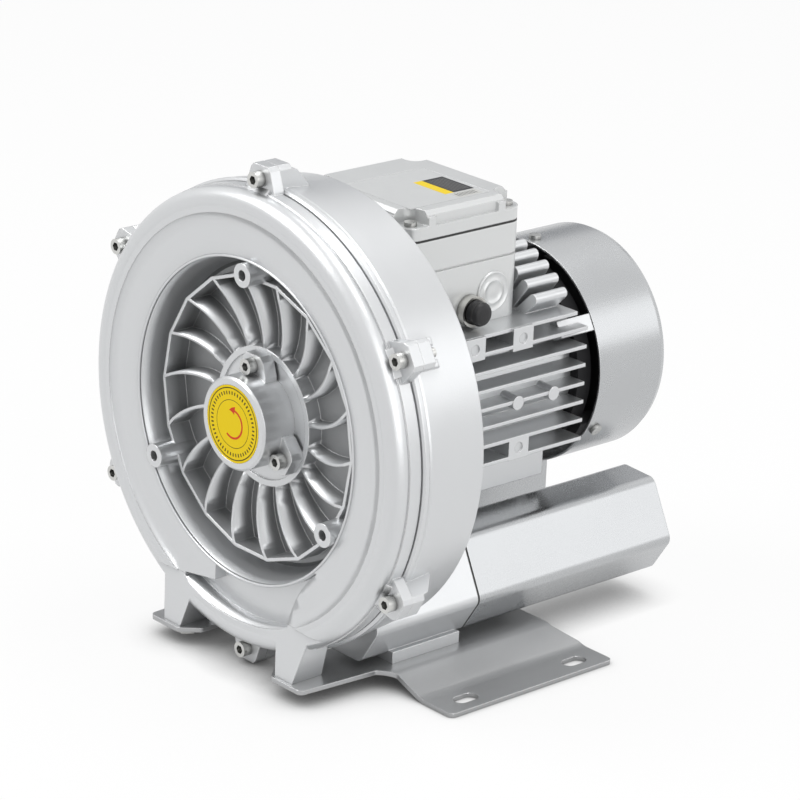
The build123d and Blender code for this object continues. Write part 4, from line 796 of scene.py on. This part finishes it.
def lamp(name, place, power, size):
    """Soft area lamp."""
    light = bpy.data.lights.new(name, "AREA")
    light.energy = power
    light.shape = "RECTANGLE"
    light.size, light.size_y = size
    holder = bpy.data.objects.new(name, light)
    place_aimed(holder, place)
    bpy.context.collection.objects.link(holder)


class BLOWER_OT_stage(Operator):
    """Set up the floor, the soft lamps, the world and the camera"""
    bl_idname = "blower.stage"
    bl_label = "Stage"

    def execute(self, context):
        stage = settings().stage
        scene = context.scene
        scene.view_settings.view_transform = "Standard"
        world = bpy.data.worlds.new("studio")
        world.use_nodes = True
        scene.world = world
        white_background(world.node_tree, stage.ambient)
        self.floor(stage)
        for name, place, power, size in LAMPS:
            lamp(name, place, power, size)
        card("back_card", CARD_PLACE, CARD_SIZE, CARD_TONE)
        self.camera(context, stage)
        return {"FINISHED"}

    def floor(self, stage):
        """Pale floor that runs to white for the camera, with the blower's shadow on it and a
        painted contact shadow where it stands.
        """
        finish = Finish("floor")
        # Ambient occlusion paints a contact shadow into the floor's colour and into its white share
        unshadowed_floor = finish.openness(stage.contact, samples=8) ** CONTACT_SHADOW_FALL
        finish.surface(Base_Color=finish.mix(unshadowed_floor, CONTACT_SHADOW_TONE, tuple(stage.floor)),
                       Roughness=0.6)
        white = finish.node("Emission", Color=WHITE, Strength=1.0)
        share = (seen_rays(finish.tree) * unshadowed_floor * stage.whiteness).clamped()
        paper = finish.node("MixShader", _0=share, _1=finish.shader.outputs["BSDF"],
                            _2=white.outputs["Emission"])
        surface = finish.tree.nodes["Material Output"].inputs["Surface"]
        finish.fill(surface, paper.outputs["Shader"])
        floor = flat_square("floor", FLOOR_HALF, finish.material)

    def camera(self, context, stage):
        """Camera from its angles about the aim point, rolled about its own line of sight."""
        lens = bpy.data.cameras.new("camera")
        lens.sensor_width = 36.0
        lens.lens = stage.lens
        lens.shift_x = stage.shift_x
        lens.shift_y = stage.shift_y
        lens.clip_end = 50.0
        level = math.cos(stage.elevation)
        back = Vector((math.sin(stage.azimuth) * level, -math.cos(stage.azimuth) * level,
                       math.sin(stage.elevation)))
        right = Vector((math.cos(stage.azimuth), math.sin(stage.azimuth), 0.0))
        up = back.cross(right)
        turned_right = right * math.cos(stage.roll) + up * math.sin(stage.roll)
        turned_up = up * math.cos(stage.roll) - right * math.sin(stage.roll)
        aim = Vector((0.0, SPLIT_Y + stage.aim_depth, AXIS_Z - stage.aim_drop))
        holder = bpy.data.objects.new("camera", lens)
        holder.matrix_world = Matrix.Translation(aim + back * stage.distance) @ Matrix(
            (turned_right, turned_up, back)).transposed().to_4x4()
        context.collection.objects.link(holder)
        context.scene.camera = holder


class BlowerSettings(PropertyGroup):
    """All settings of the blower."""
    paint: PointerProperty(type=PaintSettings)
    label: PointerProperty(type=LabelSettings)
    shape: PointerProperty(type=ShapeSettings)
    stage: PointerProperty(type=StageSettings)


class BLOWER_PT_panel(Panel):
    """Lists the blower's operators and settings"""
    bl_label = "Side channel blower"
    bl_idname = "BLOWER_PT_panel"
    bl_space_type = "VIEW_3D"
    bl_region_type = "UI"
    bl_category = "Blower"

    def draw(self, context):
        for step in STEPS:
            self.layout.operator(step.bl_idname)
        blower = context.scene.blower
        for group in (blower.paint, blower.label, blower.shape, blower.stage):
            box = self.layout.box()
            for key in group.__annotations__:
                box.prop(group, key)


STEPS = (BLOWER_OT_castings, BLOWER_OT_metal, BLOWER_OT_dull, BLOWER_OT_labels, BLOWER_OT_cover,
         BLOWER_OT_plug, BLOWER_OT_knockout, BLOWER_OT_stage)
GROUPS = (PaintSettings, LabelSettings, ShapeSettings, StageSettings, BlowerSettings)


def register():
    for item in (*GROUPS, *STEPS, BLOWER_PT_panel):
        bpy.utils.register_class(item)
    bpy.types.Scene.blower = PointerProperty(type=BlowerSettings)


def unregister():
    del bpy.types.Scene.blower
    for item in reversed((*GROUPS, *STEPS, BLOWER_PT_panel)):
        bpy.utils.unregister_class(item)


def main():
    register()
    for step in STEPS:
        family, name = step.bl_idname.split(".")
        getattr(getattr(bpy.ops, family), name)()


if __name__ == "__main__":
    main()
